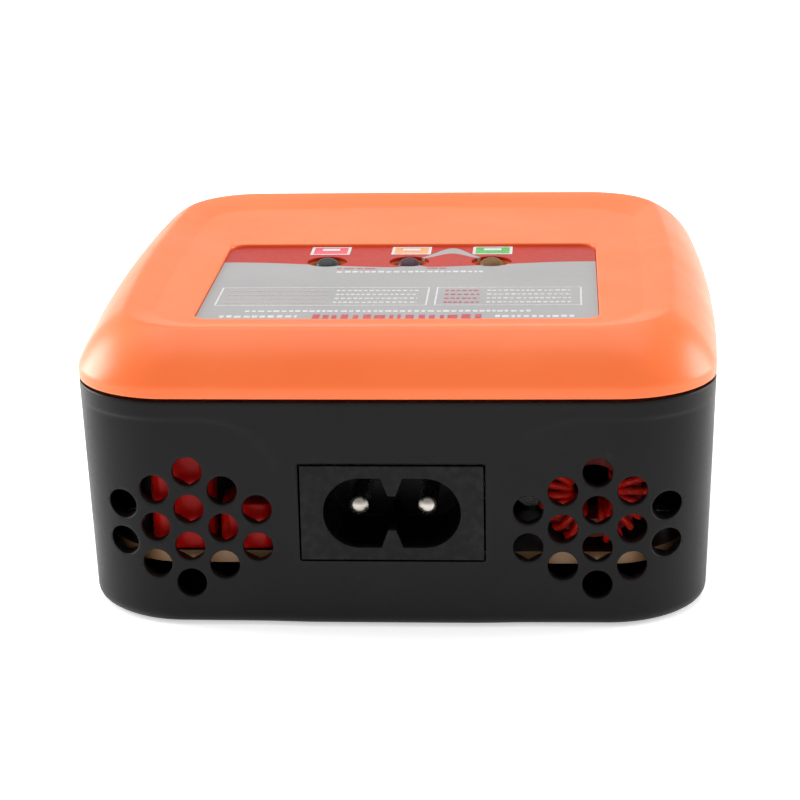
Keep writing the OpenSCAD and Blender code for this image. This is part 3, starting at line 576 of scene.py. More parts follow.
# ---- lid: one closed shell from the panel pocket over the rim to the tongue and the inside
lid = {
    "skirt": 1.5,
    "rise": lidHigh.z - seam,
    "bevel": 5.6,
    "bulge": 0.7,
    "slope": 4.2,
    "slopeFar": 2.9,     # extra width of the slope on the socket side
    "dishDrop": 0.8,
    "crease": 1.35,      # how sharply the slope ends at the dish
    "floor": 1.4,
    "windowGap": 0.05,
    "windowRadius": 2.2,
    "windowEdge": 0.22,  # rounding of the window's edge
    "seamEdge": [(0.16, 0.0), (0.05, 0.04), (0.0, 0.15)],   # height over the seam, inset
    "landSteps": 6,
    "slopeSteps": 14,
    "bevelSteps": 22,
}
crest = lidHigh.z
dish = crest - lid["dishDrop"]
floorTop = labelLow.z
ceiling = floorTop - lid["floor"]
windowX = (labelHigh.x - labelLow.x) / 2 + lid["windowGap"]
windowY = (labelHigh.y - labelLow.y) / 2 + lid["windowGap"]
windowMid = (labelHigh.y + labelLow.y) / 2


def caseRing(z, inset=0.0, bowSteps=steps["bow"]):
    lean = 1 - min(z, seam) / seam
    hx = halfX - shell["sideLean"] * lean - inset
    hy = halfY - shell["faceLean"] * lean - inset
    bow = shell["faceBow"]
    radius = max(shell["cornerRadius"] - inset, 1.0)
    return atHeight(outline(hx, hy, radius, shell["sideBow"], bow, bow, 0.0, bowSteps), z)


def bevelRing(t, inset=0.0, topZ=None):
    rise = lid["rise"] - lid["skirt"]
    run = math.hypot(lid["bevel"], rise)
    swell = lid["bulge"] * 4 * t * (1 - t)
    off = lid["bevel"] * t - swell * rise / run
    z = seam + lid["skirt"] + rise * t + swell * lid["bevel"] / run - inset
    ring = outline(halfX - off - inset, halfY - off - inset, shell["cornerRadius"] - off / 2 - inset,
                   shell["sideBow"], shell["faceBow"], shell["faceBow"])
    return atHeight(ring, z if topZ is None else min(z, topZ))


def slopeRing(t):
    reach = lid["bevel"] + lid["slope"] * t
    far = lid["slopeFar"] / 2 * t
    radius = shell["cornerRadius"] - lid["bevel"] / 2 * (1 + t)
    drop = lid["dishDrop"] * (t ** lid["crease"])
    ring = outline(halfX - reach, halfY - reach - far, radius, shell["sideBow"] * (1 - 0.6 * t),
                   shell["faceBow"] + 1.2 * t, shell["faceBow"], -far)
    return atHeight(ring, crest - drop)


def windowRing(grow, z):
    ring = outline(windowX + grow, windowY + grow, lid["windowRadius"] + grow, 0.001, 0.001, 0.001, windowMid)
    return atHeight(ring, z)


# average each ring with its neighbours, to ease the ridge between the bevel and the slope
def easeRings(rings, middle, reach, passes):
    for _ in range(passes):
        copy = [list(ring) for ring in rings]
        for j in range(middle - reach, middle + reach + 1):
            for i in range(len(rings[j])):
                a, b, c = Vector(copy[j - 1][i]), Vector(copy[j][i]), Vector(copy[j + 1][i])
                rings[j][i] = tuple(a * 0.25 + b * 0.5 + c * 0.25)
    return rings


def buildLid():
    wall = shell["wall"]
    edge = lid["windowEdge"]
    rings = [windowRing(0.0, floorTop), windowRing(0.0, dish - edge)]
    for i in range(1, 5):
        a = math.radians(22.5 * i)
        rings.append(windowRing(edge * (1 - math.cos(a)), dish - edge * (1 - math.sin(a))))
    landInner = rings[-1]
    landOuter = slopeRing(1.0)
    for i in range(1, lid["landSteps"]):  # the flat land, drawn out from the window to the slope
        t = i / lid["landSteps"]
        rings.append([tuple(Vector(p).lerp(Vector(q), t)) for p, q in zip(landInner, landOuter)])
    rings += [slopeRing(1 - i / lid["slopeSteps"]) for i in range(lid["slopeSteps"])]
    ridge = len(rings)
    rings += [bevelRing(1 - i / lid["bevelSteps"]) for i in range(lid["bevelSteps"] + 1)]
    easeRings(rings, ridge, 3, 1)
    skirtTop = len(rings) - 1
    rings += [caseRing(seam + lid["skirt"] * (1 - i / 6)) for i in range(1, 6)]
    easeRings(rings, skirtTop, 2, 2)
    rings += [caseRing(seam + rise, inset) for rise, inset in lid["seamEdge"]]
    tongueZ = seam - shell["tongue"]
    tongue = caseRing(seam, wall / 2 + 0.1)
    rings += [tongue, liftTo(tongue, tongueZ), liftTo(caseRing(seam, wall), tongueZ)]
    rings.append(caseRing(seam + lid["skirt"], wall))
    rings.append(bevelRing(0.5, wall * 0.8, ceiling - 0.6))
    rings.append(liftTo(bevelRing(0.75, wall * 0.8), ceiling))
    return loftPiece("lid_shell", [rings])


buttons = {side: boxOf("button_" + side) for side in ("left", "middle", "right")}
buttonHole = 5.5


# middle and size of a box in plan
def plan(box):
    low, high = box
    return (low.x + high.x) / 2, (low.y + high.y) / 2, high.x - low.x, high.y - low.y


# cutters for the button holes and the light windows
def keyHoles(low, high, flare):
    stacks = []
    radius = buttonHole / 2
    for box in buttons.values():
        x, y = plan(box)[:2]
        stacks.append(turned(x, y, [(radius, low), (radius, high - flare), (radius + flare, high),
                                    (radius + flare, high + 1)]))
    for side in buttons:
        x, y, width, depth = plan(boxOf("light_window_" + side))
        stacks.append([atHeight(roundRect(x, y, width + 0.1, depth + 0.1, 0.3), z) for z in (low, high + 1)])
    return stacks


lidShell = buildLid()
carve(lidShell, loftPiece("lid_cut", keyHoles(ceiling - 1, floorTop, 0.0)))
shade(lidShell, 38)
finish(lidShell, orangeAbs)
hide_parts("upper_case")
print("lid:", len(lidShell.data.vertices), "points")

screwHead = {"case_screws": 2.79, "board_screws": 2.325, "button_board_screws": 2.325}


# the middles of four screws, from the box round their heads
def screwPlaces(node):
    low, high = boxOf(node)
    head = screwHead[node]
    return [(x, y) for x in (low.x + head, high.x - head) for y in (low.y + head, high.y - head)]


lidBoss = {
    "radius": 3.2,
    "bottom": 17.0,
    "core": 1.3,
    "edge": 0.2,
    "foot": 0.8,
    "boardRadius": 2.2,
    "boardCore": 0.6,
}


# bosses that hang from the lid's ceiling: four for the case screws, four for the button board
def buildLidBosses():
    radius, core, bottom, edge = (lidBoss[key] for key in ("radius", "core", "bottom", "edge"))
    profile = [(core, ceiling - 4), (core, bottom), (radius - edge, bottom), (radius, bottom + edge),
               (radius, ceiling - 1), (radius + lidBoss["foot"], ceiling + 0.3)]
    stacks = [turned(x, y, profile, 40) for x, y in screwPlaces("case_screws")]
    boardTop = boxOf("button_board")[1].z
    profile = [(lidBoss["boardCore"], boardTop), (lidBoss["boardRadius"], boardTop),
               (lidBoss["boardRadius"], ceiling + 0.3)]
    stacks += [turned(x, y, profile, 32) for x, y in screwPlaces("button_board_screws")]
    return loftPiece("lid_bosses", stacks)


finish(shade(buildLidBosses()), orangeAbs)


# ---- lower case: closed shell with the shallow panel step, vents, inlet window and socket windows
lower = {
    "rows": 44,
    "stepDepth": 0.28,   # the corners lie this much deeper than the middle panel and the top band
    "stepTop": 27.3,
    "stepSide": 13.5,    # where the step turns down beside the inlet
    "stepRadius": 10.0,
    "stepSharp": 0.7,    # width of the step's ramp at the top
    "stepSoft": 8.0,     # and where it fades out lower down
    "fadeFrom": 5.0,     # how far below its top the step starts to soften
    "fadeOver": 6.0,
    "faceReach": 4.0,    # the step turns down beside the inlet on the end faces only
    "sideFade": 7.0,     # the step runs out towards the sides
    "rimRows": (0.24, 0.3, 4),   # first drop, gap and count of the rows under the rim
    "stepRows": (0.25, 10),      # gap and count of the rows across the step
}


def stepInset(x, y, z):
    across = abs(x) - lower["stepSide"]
    down = lower["stepTop"] - z
    radius = lower["stepRadius"]
    if abs(y) < halfY - lower["faceReach"]:
        across = halfX
    if across < radius and down < radius:
        inside = radius - math.hypot(radius - across, radius - down)
    else:
        inside = min(across, down)
    fade = ease((lower["stepTop"] - lower["fadeFrom"] - z) / lower["fadeOver"])
    ramp = lower["stepSharp"] + (lower["stepSoft"] - lower["stepSharp"]) * fade
    side = ease((halfX - 1.0 - abs(x)) / lower["sideFade"])
    return lower["stepDepth"] * ease(inside / ramp + 0.5) * side


def buildLowerShell():
    wall = shell["wall"]
    top = caseHigh.z
    fine = steps["fineBow"]
    rings = [caseRing(wall, wall, fine), caseRing(seam - shell["tongue"] - 0.1, wall, fine),
             caseRing(seam - shell["tongue"] - 0.1, wall / 2, fine), caseRing(top, wall / 2, fine),
             caseRing(top, 0.22, fine), caseRing(top - 0.07, 0.07, fine)]
    drop, gap, count = lower["rimRows"]
    heights = [top - drop - i * gap for i in range(count)]
    gap, count = lower["stepRows"]
    heights += [heights[-1] - gap * (i + 1) for i in range(count)]
    start = heights[-1]
    left = lower["rows"] - len(heights)
    heights += [start + (shell["baseRound"] - start) * (i + 1) / left for i in range(left)]
    for z in heights:
        rings.append(stepRing(z, 0.0, 1.0, 1.0))
    for i in range(1, 7):
        a = math.radians(15 * i)
        back = shell["baseRound"] * (1 - math.cos(a))
        rings.append(stepRing(shell["baseRound"] * (1 - math.sin(a)), back, back + lower["stepDepth"],
                              lower["stepDepth"]))
    return loftPiece("lower_shell", [rings])


# a ring of the outer wall, moved from one inset towards another where the step lies deeper
def stepRing(z, inset, deeper, full):
    ring = []
    for plain, deep in zip(caseRing(z, inset, steps["fineBow"]), caseRing(z, deeper, steps["fineBow"])):
        t = stepInset(plain[0], plain[1], z) / full
        t = 1.0 if t > 0.98 else t
        ring.append((plain[0] + (deep[0] - plain[0]) * t, plain[1] + (deep[1] - plain[1]) * t, z))
    return ring


vents = {
    "radius": 1.85,
    "pocketRadius": 2.3,   # six-sided behind the round lip, a corner down
    "lip": 0.8,
    "flare": 0.16,
    "pitch": 4.92,
    "groupX": 25.3,
    "groupZ": 13.1,
    "columns": [2, 3, 4, 3, 2],
}


# how far the rounded corner falls back from the inlet face
def cornerDrop(x, z):
    radius = shell["cornerRadius"]
    past = abs(x) - (halfX - shell["sideLean"] * (1 - z / seam) - shell["sideBow"] - radius)
    return radius - math.sqrt(radius * radius - max(0.0, past) ** 2)


# where the outer face lies at a height, on the inlet side
def nearFace(x, z):
    lean = 1 - z / seam
    share = min(1.0, abs(x) / (halfX - shell["cornerRadius"]))
    bow = shell["faceBow"] * (1 - share * share)
    return cornerDrop(x, z) - (halfY - shell["faceLean"] * lean - shell["faceBow"] + bow)


def hexRadius(angle):
    local = (math.degrees(angle) + 90) % 60 - 30
    return vents["pocketRadius"] * math.cos(math.radians(30)) / math.cos(math.radians(local))


def ventStack(x, z):
    turn = [math.radians(10 * i) for i in range(36)]
    radius = vents["radius"]
    flare = vents["flare"]
    rings = []
    for grow, depth in ((flare + 0.9, -0.9), (flare, 0.0), (flare * 0.3, flare * 0.4), (0.0, flare)):
        ring = []
        for a in turn:   # the mouth follows the outer face
            px = x + (radius + grow) * math.cos(a)
            pz = z + (radius + grow) * math.sin(a)
            ring.append((px, nearFace(px, pz) + stepInset(px, -halfY, pz) + depth, pz))
        rings.append(ring)
    lipEnd = nearFace(0.0, z) + vents["lip"] + stepInset(x, -halfY, z) + cornerDrop(abs(x) + radius, z)
    rings.append([(x + radius * math.cos(a), lipEnd, z + radius * math.sin(a)) for a in turn])
    for y in (lipEnd, lipEnd + shell["wall"] + 2.5):
        rings.append([(x + hexRadius(a) * math.cos(a), y, z + hexRadius(a) * math.sin(a)) for a in turn])
    return rings


def ventStacks():
    stacks = []
    for side in (-1, 1):
        for i, count in enumerate(vents["columns"]):
            for j in range(count):
                x = side * vents["groupX"] + (i - 2) * vents["pitch"] * math.cos(math.radians(30))
                z = vents["groupZ"] + (j - (count - 1) / 2) * vents["pitch"]
                stacks.append(ventStack(x, z))
    return stacks


# a rounded window through a face, with a small chamfer outside
def windowStack(box, gap, faceY, outward, radius=0.35):
    x, _, width, _ = plan(box)
    z = (box[0].z + box[1].z) / 2
    width += 2 * gap
    height = box[1].z - box[0].z + 2 * gap
    chamfer = 0.12
    rings = []
    for grow, depth in ((chamfer + 0.8, -0.8), (chamfer, 0.0), (0.0, chamfer), (0.0, shell["wall"] + 1.5)):
        ring = roundRect(x, z, width + 2 * grow, height + 2 * grow, radius + grow)
        rings.append([(px, faceY - outward * depth, pz) for px, pz in ring])
    return rings


recess = {"radius": 3.09, "top": 14.0, "bossRadius": 4.49, "bossTop": 17.0, "hole": 1.7}
lowerShell = buildLowerShell()
windows = [windowStack(boxOf("inlet_body"), 0.22, nearFace(0, 15), -1)]
for node in ("output_socket", "balance_socket_four", "balance_socket_three"):
    windows.append(windowStack(boxOf(node), 0.2, -nearFace(0, 12), 1))
mouth = [(recess["radius"] + 0.7, -0.5), (recess["radius"] + 0.2, 0.0), (recess["radius"], 0.25),
         (recess["radius"], shell["wall"] + 0.8)]
recesses = [turned(x, y, mouth) for x, y in screwPlaces("case_screws")]
carve(lowerShell, loftPiece("lower_cut", ventStacks() + windows + recesses))
shade(lowerShell, 34)
finish(lowerShell, blackAbs)
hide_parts("lower_case")
print("lower case:", len(lowerShell.data.vertices), "points")


post = {"foot": 3.1, "radius": 2.6, "core": 1.05}


# screw tubes and board posts standing on the floor of the lower case
def buildCaseBosses():
    floorZ = shell["wall"] - 0.02
    profile = [(recess["bossRadius"] + 0.5, floorZ), (recess["bossRadius"], floorZ + 0.6),
               (recess["bossRadius"], recess["bossTop"]), (recess["hole"], recess["bossTop"]),
               (recess["hole"], recess["top"]), (recess["radius"], recess["top"]), (recess["radius"], floorZ)]
    stacks = [turned(x, y, profile) for x, y in screwPlaces("case_screws")]
    postTop = boxOf("main_board")[0].z
    profile = [(post["foot"], floorZ), (post["radius"], floorZ + 0.6), (post["radius"], postTop),
               (post["core"], postTop)]
    return stacks + [turned(x, y, profile, 32) for x, y in screwPlaces("board_screws")]


finish(shade(loftPiece("case_bosses", buildCaseBosses(), False)), blackAbs)


# ---- printed panel
# a bell curve round a middle, one at its peak
def bell(tree, x, middle, sharp):
    offset = addMath(tree, "SUBTRACT", x, middle)
    return addMath(tree, "EXPONENT", times(tree, times(tree, offset, offset), -sharp))


zone = {"length": 50, "wave": -1.5, "edge": -2.2, "swellAt": 0.6, "swellSharp": 0.5, "swell": 1.4}
ribbon = {"middle": 5.7, "arch": 4.6, "archSharp": 0.12, "rise": 0.9, "wide": 1.7, "wideSharp": 0.08,
          "trim": -0.2}


# the red zone lies beyond a shallow wave, with a swell beside the middle button
def zoneMask(tree, x, y):
    wave = addMath(tree, "COSINE", times(tree, x, 2 * math.pi / zone["length"]))
    edge = plus(tree, times(tree, wave, zone["wave"]), zone["edge"])
    swell = times(tree, bell(tree, x, zone["swellAt"], zone["swellSharp"]), zone["swell"])
    return addRange(tree, addMath(tree, "SUBTRACT", y, plus(tree, edge, swell)), -0.04, 0.04)


# a grey ribbon that arches over a red swell between the middle and right buttons
def ribbonMask(tree, x, y):
    arch = times(tree, bell(tree, x, ribbon["middle"], ribbon["archSharp"]), ribbon["arch"])
    away = addMath(tree, "ABSOLUTE", addMath(tree, "SUBTRACT", y, plus(tree, arch, ribbon["rise"])))
    wide = times(tree, bell(tree, x, ribbon["middle"], ribbon["wideSharp"]), ribbon["wide"])
    width = plus(tree, wide, ribbon["trim"])
    return addRange(tree, addMath(tree, "SUBTRACT", away, width), 0.05, -0.05)


def printedPanel():
    material, tree, shader = startMaterial("printed panel")
    place = axes(tree, objectPlace(tree))
    x = times(tree, place["X"], 1 / mm)
    y = times(tree, place["Y"], 1 / mm)
    cloud = addRange(tree, addNoise(tree, 90.0, 4.0), 0.3, 0.7)
    grey = blendColour(tree, cloud, (0.325, 0.32, 0.319), (0.36, 0.354, 0.353))
    red = blendColour(tree, cloud, (0.4, 0.02, 0.01), (0.47, 0.028, 0.014))
    colour = blendColour(tree, zoneMask(tree, x, y), grey, red)
    colour = blendColour(tree, ribbonMask(tree, x, y), colour, grey)
    specks = placeGroup(tree, fineDust, Amount=0.35, Scale=900.0)
    texture = placeGroup(tree, mouldGrain, Scale=1500.0, Pits=0.3)
    feedAll(tree, shader, {
        "Base Color": blendColour(tree, specks.outputs["Mask"], colour, (0.8, 0.78, 0.76)),
        "Roughness": addRange(tree, texture.outputs["Sheen"], 0.35, 0.65, 0.3, 0.44),
        "Specular IOR Level": 0.2,
    })
    addBump(tree, shader, texture.outputs["Height"], 0.2, 0.006)
    return material


def printInk(name, tone, shift):
    material, tree, shader = startMaterial(name)
    patch = addRange(tree, addNoise(tree, 2400.0, 3.0), 0.35, 0.65)
    feedAll(tree, shader, {
        "Base Color": blendColour(tree, patch, tone, shift),
        "Roughness": addRange(tree, patch, 0.0, 1.0, 0.35, 0.55),
        "Specular IOR Level": 0.2,
    })
    return material


panelFilm = printedPanel()
inkWhite = printInk("white ink", (0.66, 0.65, 0.65), (0.54, 0.53, 0.53))
inkRose = printInk("rose ink", (0.5, 0.1, 0.13), (0.4, 0.07, 0.1))
inkCream = printInk("cream ink", (0.46, 0.4, 0.38), (0.4, 0.35, 0.34))

panel = {"top": labelHigh.z, "edge": 0.08, "ink": 0.02}


def buildPanel():
    gap = -lid["windowGap"]
    top = panel["top"]
    edge = panel["edge"]
    rings = [windowRing(gap, labelLow.z + 0.005), windowRing(gap, top - edge),
             windowRing(gap - edge * 0.3, top - edge * 0.3), windowRing(gap - edge, top)]
    return loftPiece("printed_panel", [rings])


panelPiece = buildPanel()
carve(panelPiece, loftPiece("panel_cut", keyHoles(labelLow.z - 0.5, panel["top"], 0.06)))
shade(panelPiece, 30)
finish(panelPiece, panelFilm)
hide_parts("panel_label")


# flat strokes of ink: low corner and high corner in plan
def inkPiece(name, strokes, material, lift=0.0):
    stacks = []
    for x0, y0, x1, y1 in strokes:
        corners = [(x0, y0), (x1, y0), (x1, y1), (x0, y1)]
        low = panel["top"] - 0.01
        high = panel["top"] + panel["ink"] + lift
        stacks.append([atHeight(corners, low), atHeight(corners, high)])
    return finish(loftPiece(name, stacks), material)


# a row of short bars that stands for a line of small print
def barRow(x0, x1, y, height, seed, longest, gap):
    strokes = []
    x = x0
    state = seed
    while x < x1:
        state = (state * 37 + 11) % 101
        width = 0.4 + (longest - 0.4) * state / 101
        strokes.append((x, y, min(x + width, x1), y + height * (0.8 + 0.2 * ((state * 7) % 5) / 4)))
        x += width + gap * (0.7 + 0.6 * ((state * 3) % 7) / 6)
    return strokes


def boxLines(x0, y0, x1, y1, width):
    return [(x0, y0, x1, y0 + width), (x0, y1 - width, x1, y1),
            (x0, y0 + width, x0 + width, y1 - width), (x1 - width, y0 + width, x1, y1 - width)]


# rows of bars: start, end, y, height, seed, longest bar and gap
near = windowMid - windowY   # the window's near edge
printLayout = {
    "white": [(-9.5, 10.5, -6.6, 0.95, 5, 0.8, 0.28), (-19.5, 17.0, near + 4.4, 0.9, 9, 0.85, 0.3),
              (-22.5, -12.6, near + 1.8, 1.1, 17, 0.9, 0.3), (12.5, 22.5, near + 1.8, 1.1, 23, 0.9, 0.3)],
    "rose": [(-10.6, 10.8, near + 1.3, 2.0, 31, 1.5, 0.5), (-9.6, -4.4, -4.6, 0.45, 41, 1.6, 0.3),
             (2.6, 5.2, -4.4, 0.45, 43, 1.6, 0.3)],
    "tables": [(-23.9, -23.5, 3.6, -14.4, 0.52), (4.5, -23.5, 23.5, -14.4, 0.3)],   # corners and split
    "tableLine": 0.22,
    "tableRow": (0.6, 0.6, 0.24),   # height, longest bar and gap
    "rowPitch": 1.95,
}


def buildPrint():
    strokes = {"white": [], "rose": [], "cream": []}
    for ink in ("white", "rose"):
        for row in printLayout[ink]:
            strokes[ink] += barRow(*row)
    height, longest, gap = printLayout["tableRow"]
    for number, (x0, y0, x1, y1, share) in enumerate(printLayout["tables"]):
        strokes["white"] += boxLines(x0, y0, x1, y1, printLayout["tableLine"])
        split = x0 + (x1 - x0) * share
        for row in range(4):
            y = y1 - 1.9 - row * printLayout["rowPitch"]
            seed = 51 + row + number * 9
            strokes[("cream", "rose")[number]] += barRow(x0 + 1.2, split, y, height, seed, longest, gap)
            strokes["white"] += barRow(split + 1.0, x1 - 1.4, y, height, seed + 20, longest, gap)
    for ink, material in (("white", inkWhite), ("rose", inkRose), ("cream", inkCream)):
        inkPiece("print_" + ink, strokes[ink], material)


buildPrint()
print("panel and print ready")

# ---- light windows: tinted block, printed frame round it, pale ink patch across it
lights = {
    "left": {"tone": (0.72, 0.06, 0.1), "shift": (0.8, 0.1, 0.14), "slot": "window_red"},
    "middle": {"tone": (0.86, 0.32, 0.12), "shift": (0.9, 0.4, 0.18), "slot": "window_amber"},
    "right": {"tone": (0.05, 0.38, 0.06), "shift": (0.08, 0.46, 0.09), "slot": "window_green"},
    "frame": 0.4,
    "patch": 0.46,       # share of the window's width
}


def buildLight(side):
    look = lights[side]
    node = "light_window_" + side
    low, high = boxOf(node)
    x, y, width, depth = plan((low, high))
    levels = ((0.1, 0.25, low.z + 0.1), (0.1, 0.25, high.z - 0.08), (0.26, 0.2, high.z))
    rings = [atHeight(roundRect(x, y, width - gap, depth - gap, r), z) for gap, r, z in levels]
    block = shade(loftPiece("light_" + side, [rings]))
    finish(block, mouldedPlastic("lit " + side, look["tone"], look["shift"], rough=(0.2, 0.32), gloss=0.3,
                                 grain=900.0, depth=0.008, wear=0.1, scatter=0.3))
    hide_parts(node)
    halfW = width / 2 + 0.1
    strokes = boxLines(x - halfW, y - depth / 2 - 0.3, x + halfW, y + depth / 2 + 0.1, lights["frame"])
    patchX = width * lights["patch"] / 2
    strokes.append((x - patchX, y - depth * 0.02, x + patchX, y + depth * 0.3))
    inkPiece("light_frame_" + side, strokes, inkWhite, 0.02)


for side in buttons:
    buildLight(side)

# ---- buttons: domed caps on stems, each on its own body
buttonLook = {
    "left": ((0.02, 0.028, 0.027), (0.04, 0.052, 0.05)),
    "middle": ((0.05, 0.018, 0.028), (0.08, 0.032, 0.05)),
    "right": ((0.14, 0.06, 0.012), (0.2, 0.1, 0.03)),
}


button = {"radius": 1.75, "flange": 2.4, "foot": 2.0, "dome": 1.0, "edge": 0.12, "steps": 14}


# profile of a spherical cap, from near its rim to near its top: radius and depth below the top
def capProfile(radius, dome, count):
    ball = (radius * radius + dome * dome) / (2 * dome)
    spread = math.asin(radius / ball)
    turn = [spread * (1 - i / count) for i in range(count)]
    return [(ball * math.sin(a), ball * (1 - math.cos(a))) for a in turn]


def buildButton(side):
    low, high = buttons[side]
    x, y = plan(buttons[side])[:2]
    radius, flange, edge = button["radius"], button["flange"], button["edge"]
    shelf = low.z + button["foot"]
    profile = [(0.4, low.z), (flange - 0.15, low.z), (flange, low.z + 0.15), (flange, shelf - edge),
               (flange - edge, shelf), (radius, shelf)]
    profile += [(r, high.z - drop) for r, drop in capProfile(radius, button["dome"], button["steps"])]
    profile.append((0.02, high.z))
    node = "button_" + side
    piece = shade(loftPiece("button_cap_" + side, [turned(x, y, profile)]), 40)
    finish(piece, tintedResin("button " + side, *buttonLook[side], clear=0.1, rough=(0.24, 0.36), gloss=0.16),
           node)
    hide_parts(node)


for side in buttons:
    buildButton(side)
print("lights and buttons ready")

# ---- sockets, inlet, screws and the parts that show through the vents
rounded = {
    "inlet_body": (inletBlack, 0.18, "inlet_black"),
    "output_socket": (socketYellow, 0.22, "output_yellow"),
    "output_contacts": (gold, 0.12, "gold_contact"),
    "balance_socket_four": (socketWhite, 0.14, "nylon_white"),
    "balance_socket_three": (socketWhite, 0.14, "nylon_white"),
    "balance_pins": (tin, 0.1, "tinned_pin"),
    "case_screws": (blackZinc, 0.15, "screw_black"),
    "board_screws": (tin, 0.15, "screw_steel"),
    "main_board": (laminateWithShadedFaces, 0.06, "board_tan"),
    "film_capacitors": (redFilm, 0.7, "film_red"),
}
for node, (material, width, slotName) in rounded.items():
    finish(softened(node, width), material)

pins = {"radius": 1.2, "tip": 0.5, "root": 0.95, "rootFrom": 9.1, "edge": 0.15, "tail": 0.6, "taper": 0.35}


# two round pins with domed tips, and tails that go down through the board
def buildInletPins():
    low, high = boxOf("inlet_pins")
    radius, root, half = pins["radius"], pins["root"], pins["tail"]
    z = high.z - radius
    rootY = low.y + pins["rootFrom"]
    profile = [(r, low.y + drop) for r, drop in reversed(capProfile(radius, pins["tip"], 8))]
    profile += [(radius, rootY), (root, rootY), (root, high.y - pins["edge"]), (root - pins["edge"], high.y)]
    stacks = []
    for x in (radius - high.x, high.x - radius):
        stacks.append([alongY(ring) for ring in turned(x, z, profile)])
        tail = [(half - pins["taper"], low.z), (half, low.z + 0.5), (half, z)]
        stacks.append([atHeight(roundRect(x, high.y - half, 2 * w, 2 * w, 0.1, 3), h) for w, h in tail])
    return loftPiece("inlet_pins_finished", stacks)


inletPins = finish(shade(buildInletPins(), 40), nickel)
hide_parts("inlet_pins")
print("sockets, inlet and screws ready")

choke = {
    "inner": 3.6,
    "outer": 6.0,
    "height": 5.0,
    "wire": 1.2,         # room for the wire round the core
    "round": 0.46,       # the wire's radius
    "middles": [-15, 195],
    "sweep": 122,
    "turns": 8,
}


# a round tube along a path of points, with closed ends
def sweepTube(name, paths, radius, sides=10):
    stacks = []
    for path in paths:
        up = Vector((0.0, 1.0, 0.0))
        rings = []
        for i, point in enumerate(path):
            ahead = Vector(path[min(i + 1, len(path) - 1)]) - Vector(path[max(i - 1, 0)])
            ahead.normalize()
            up = (up - ahead * up.dot(ahead)).normalized()
            across = ahead.cross(up)
            turn = [2 * math.pi * k / sides for k in range(sides)]
            rings.append([tuple(Vector(point) + across * (radius * math.cos(a)) + up * (radius * math.sin(a)))
                          for a in turn])
        stacks.append(rings)
    return loftPiece(name, stacks)


# enamelled wire wound over the standing ring, turn beside turn
def buildChokeWire():
    low, high = boxOf("choke_core")
    middle = (low + high) / 2
    radius = choke["round"]
    inner, outer, wire = choke["inner"], choke["outer"], choke["wire"]
    loop = roundRect((inner + outer) / 2, 0.0, outer - inner + wire, choke["height"] + wire, wire * 0.7, 4)
    paths = []
    for centre in choke["middles"]:
        start = centre - choke["sweep"] / 2
        count = choke["turns"] * len(loop)
        path = []
        for k in range(count + 1):
            out, along = loop[k % len(loop)]
            a = math.radians(start + choke["sweep"] * k / count)
            path.append((middle.x + out * math.cos(a), middle.y - along, middle.z + out * math.sin(a)))
        paths.append(path)
    return sweepTube("choke_wire", paths, radius)


chokeWire = finish(shade(buildChokeWire(), 60, False), redEnamel)
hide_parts("choke_windings")

# pieces that keep their CAD shape take a finish on their own slots
carried = [
    (whiteLed, ["indicator_leds"]),
    (tin, ["switch_plates", "button_board_screws", "fuse_caps"]),
    (laminateGreen, ["button_board"]),
    (ferrite, ["transformer_core"]),
    (redTape, ["transformer_winding"]),
    (blueSleeve, ["mains_capacitor"]),
    (blackSleeve, ["output_capacitors"]),
    (rustCore, ["choke_core"]),
    (clearGlass, ["fuse_body"]),
    (greenDisc, ["thermistor"]),
    (aluminium, ["transistor_heat_sink", "diode_heat_sink"]),
    (yellowCore, ["inductor_core"]),
    (copperWire, ["inductor_winding"]),
    (whiteEpoxy, ["optocoupler"]),
    (blackEpoxy, ["switch_bodies", "link_header", "link_socket", "transformer_bobbin", "bridge_rectifier",
                  "switch_transistor", "output_diode", "controller_chip", "surface_parts"]),
]
for material, carriers in carried:
    for node in carriers:
        for place in nodes[node].material_slots:
            place.material = material
print("inner pieces finished")

# ---- studio: pale floor, soft light from above and both sides, camera
studio = {
    "floor": 3000.0,
    "floorGlow": 0.5,
    "seen": 1.0,         # the room's strength for the camera and mirrors
    "fill": 0.52,        # and for soft light
    "fall": 0.55,        # how much a mirrored room darkens upwards
    "softboxes": {
        "overhead softbox": {"place": (-40, 160, 800), "size": 900, "power": 5.0},
        "left softbox": {"place": (-620, 220, 200), "size": 420, "power": 5.0},
        "right softbox": {"place": (640, 240, 190), "size": 420, "power": 3.8},
    },
    "lit": (0, 0, 20),   # where the softboxes point
}


def buildFloor():
    reach = studio["floor"]
    corners = [(sx * reach, sy * reach, -0.02) for sx, sy in ((-1, -1), (1, -1), (1, 1), (-1, 1))]
    floor = makePiece("studio_floor", corners, [[0, 1, 2, 3]])
    material, tree, shader = startMaterial("pale floor")
    tone = addRange(tree, addNoise(tree, 3.0, 2.0), 0.3, 0.7)
    feedAll(tree, shader, {
        "Base Color": blendColour(tree, tone, (0.93, 0.93, 0.93), (0.95, 0.95, 0.95)),
        "Roughness": 0.9,
        "Specular IOR Level": 0.1,
        "Emission Color": (1.0, 1.0, 1.0),
        "Emission Strength": studio["floorGlow"],
    })
    floor.data.materials.append(material)


def addSoftbox(name, box):
    light = bpy.data.lights.new(name, "AREA")
    light.size = box["size"] * mm
    light.energy = box["power"]
    lamp = addObject(name, light)
    place = Vector(box["place"])
    lamp.location = place * mm
    lamp.rotation_euler = (Vector(studio["lit"]) - place).to_track_quat("-Z", "Y").to_euler()


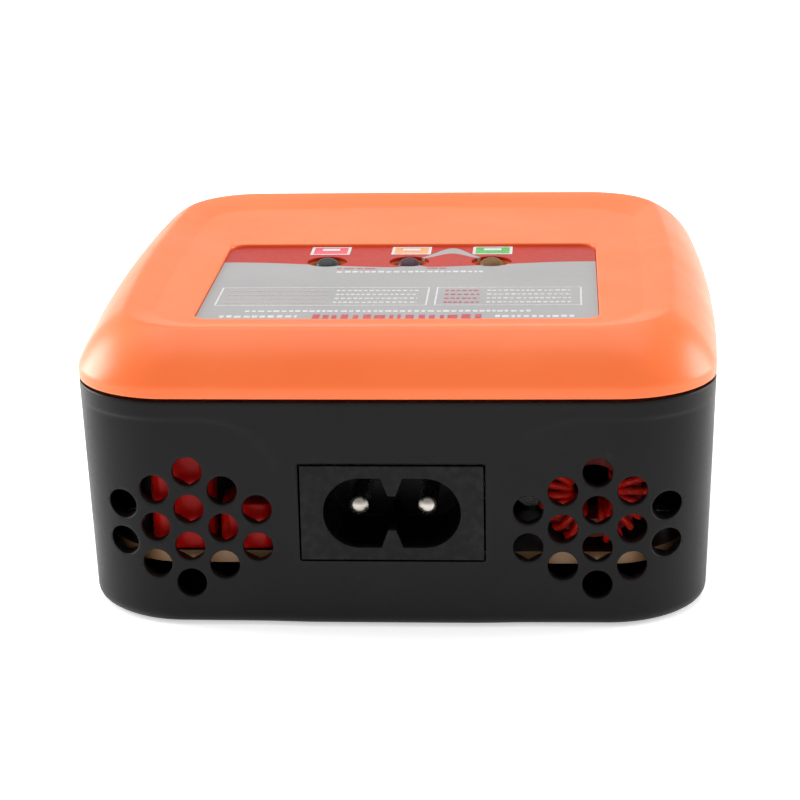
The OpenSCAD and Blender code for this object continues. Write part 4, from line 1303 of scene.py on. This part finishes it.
# a white room; mirrored rays meet one that darkens upwards
def buildRoom():
    world = bpy.data.worlds.new("white room")
    bpy.context.scene.world = world
    world.use_nodes = True
    world.cycles.sampling_method = "NONE"
    tree = world.node_tree
    rays = tree.nodes.new("ShaderNodeLightPath").outputs
    strength = addRange(tree, rays["Is Diffuse Ray"], 0.0, 1.0, studio["seen"], studio["fill"])
    aim = axes(tree, tree.nodes.new("ShaderNodeTexCoord").outputs["Generated"])
    fall = times(tree, rays["Is Glossy Ray"], addRange(tree, aim["Z"], 0.04, 0.4, 0.0, studio["fall"]))
    feedAll(tree, tree.nodes["Background"], {
        "Color": (1.0, 1.0, 1.0),
        "Strength": times(tree, strength, addRange(tree, fall, 0.0, 1.0, 1.0, 0.0)),
    })


camera = {
    "aim": (-1.64, -0.81, -2.24),   # from the middle of the object
    "distance": 338.6,
    "yaw": 3.98,
    "pitch": 17.42,
    "roll": -1.17,
    "lens": 109.05,
    "sensor": 36.0,
    "clip": (0.01, 50.0),           # in metres
}


def buildCamera():
    low, high = (Vector(corner) / mm for corner in cadBox)
    target = (low + high) / 2 + Vector(camera["aim"])
    yaw, pitch, roll = (math.radians(camera[key]) for key in ("yaw", "pitch", "roll"))
    forward = Vector((-math.sin(yaw) * math.cos(pitch), math.cos(yaw) * math.cos(pitch), -math.sin(pitch)))
    level = Vector((math.cos(yaw), math.sin(yaw), 0.0))
    upright = level.cross(forward)
    right = level * math.cos(roll) + upright * math.sin(roll)
    up = upright * math.cos(roll) - level * math.sin(roll)
    data = bpy.data.cameras.new("studio camera")
    data.lens = camera["lens"]
    data.sensor_width = camera["sensor"]
    data.clip_start, data.clip_end = camera["clip"]
    body = addObject("studio_camera", data)
    turn = Matrix((right, up, -forward)).transposed().to_4x4()
    body.matrix_world = Matrix.Translation((target - forward * camera["distance"]) * mm) @ turn
    bpy.context.scene.camera = body


buildFloor()
buildRoom()
for name, box in studio["softboxes"].items():
    addSoftbox(name, box)
buildCamera()
bpy.context.scene.view_settings.view_transform = "Standard"
print("studio ready")
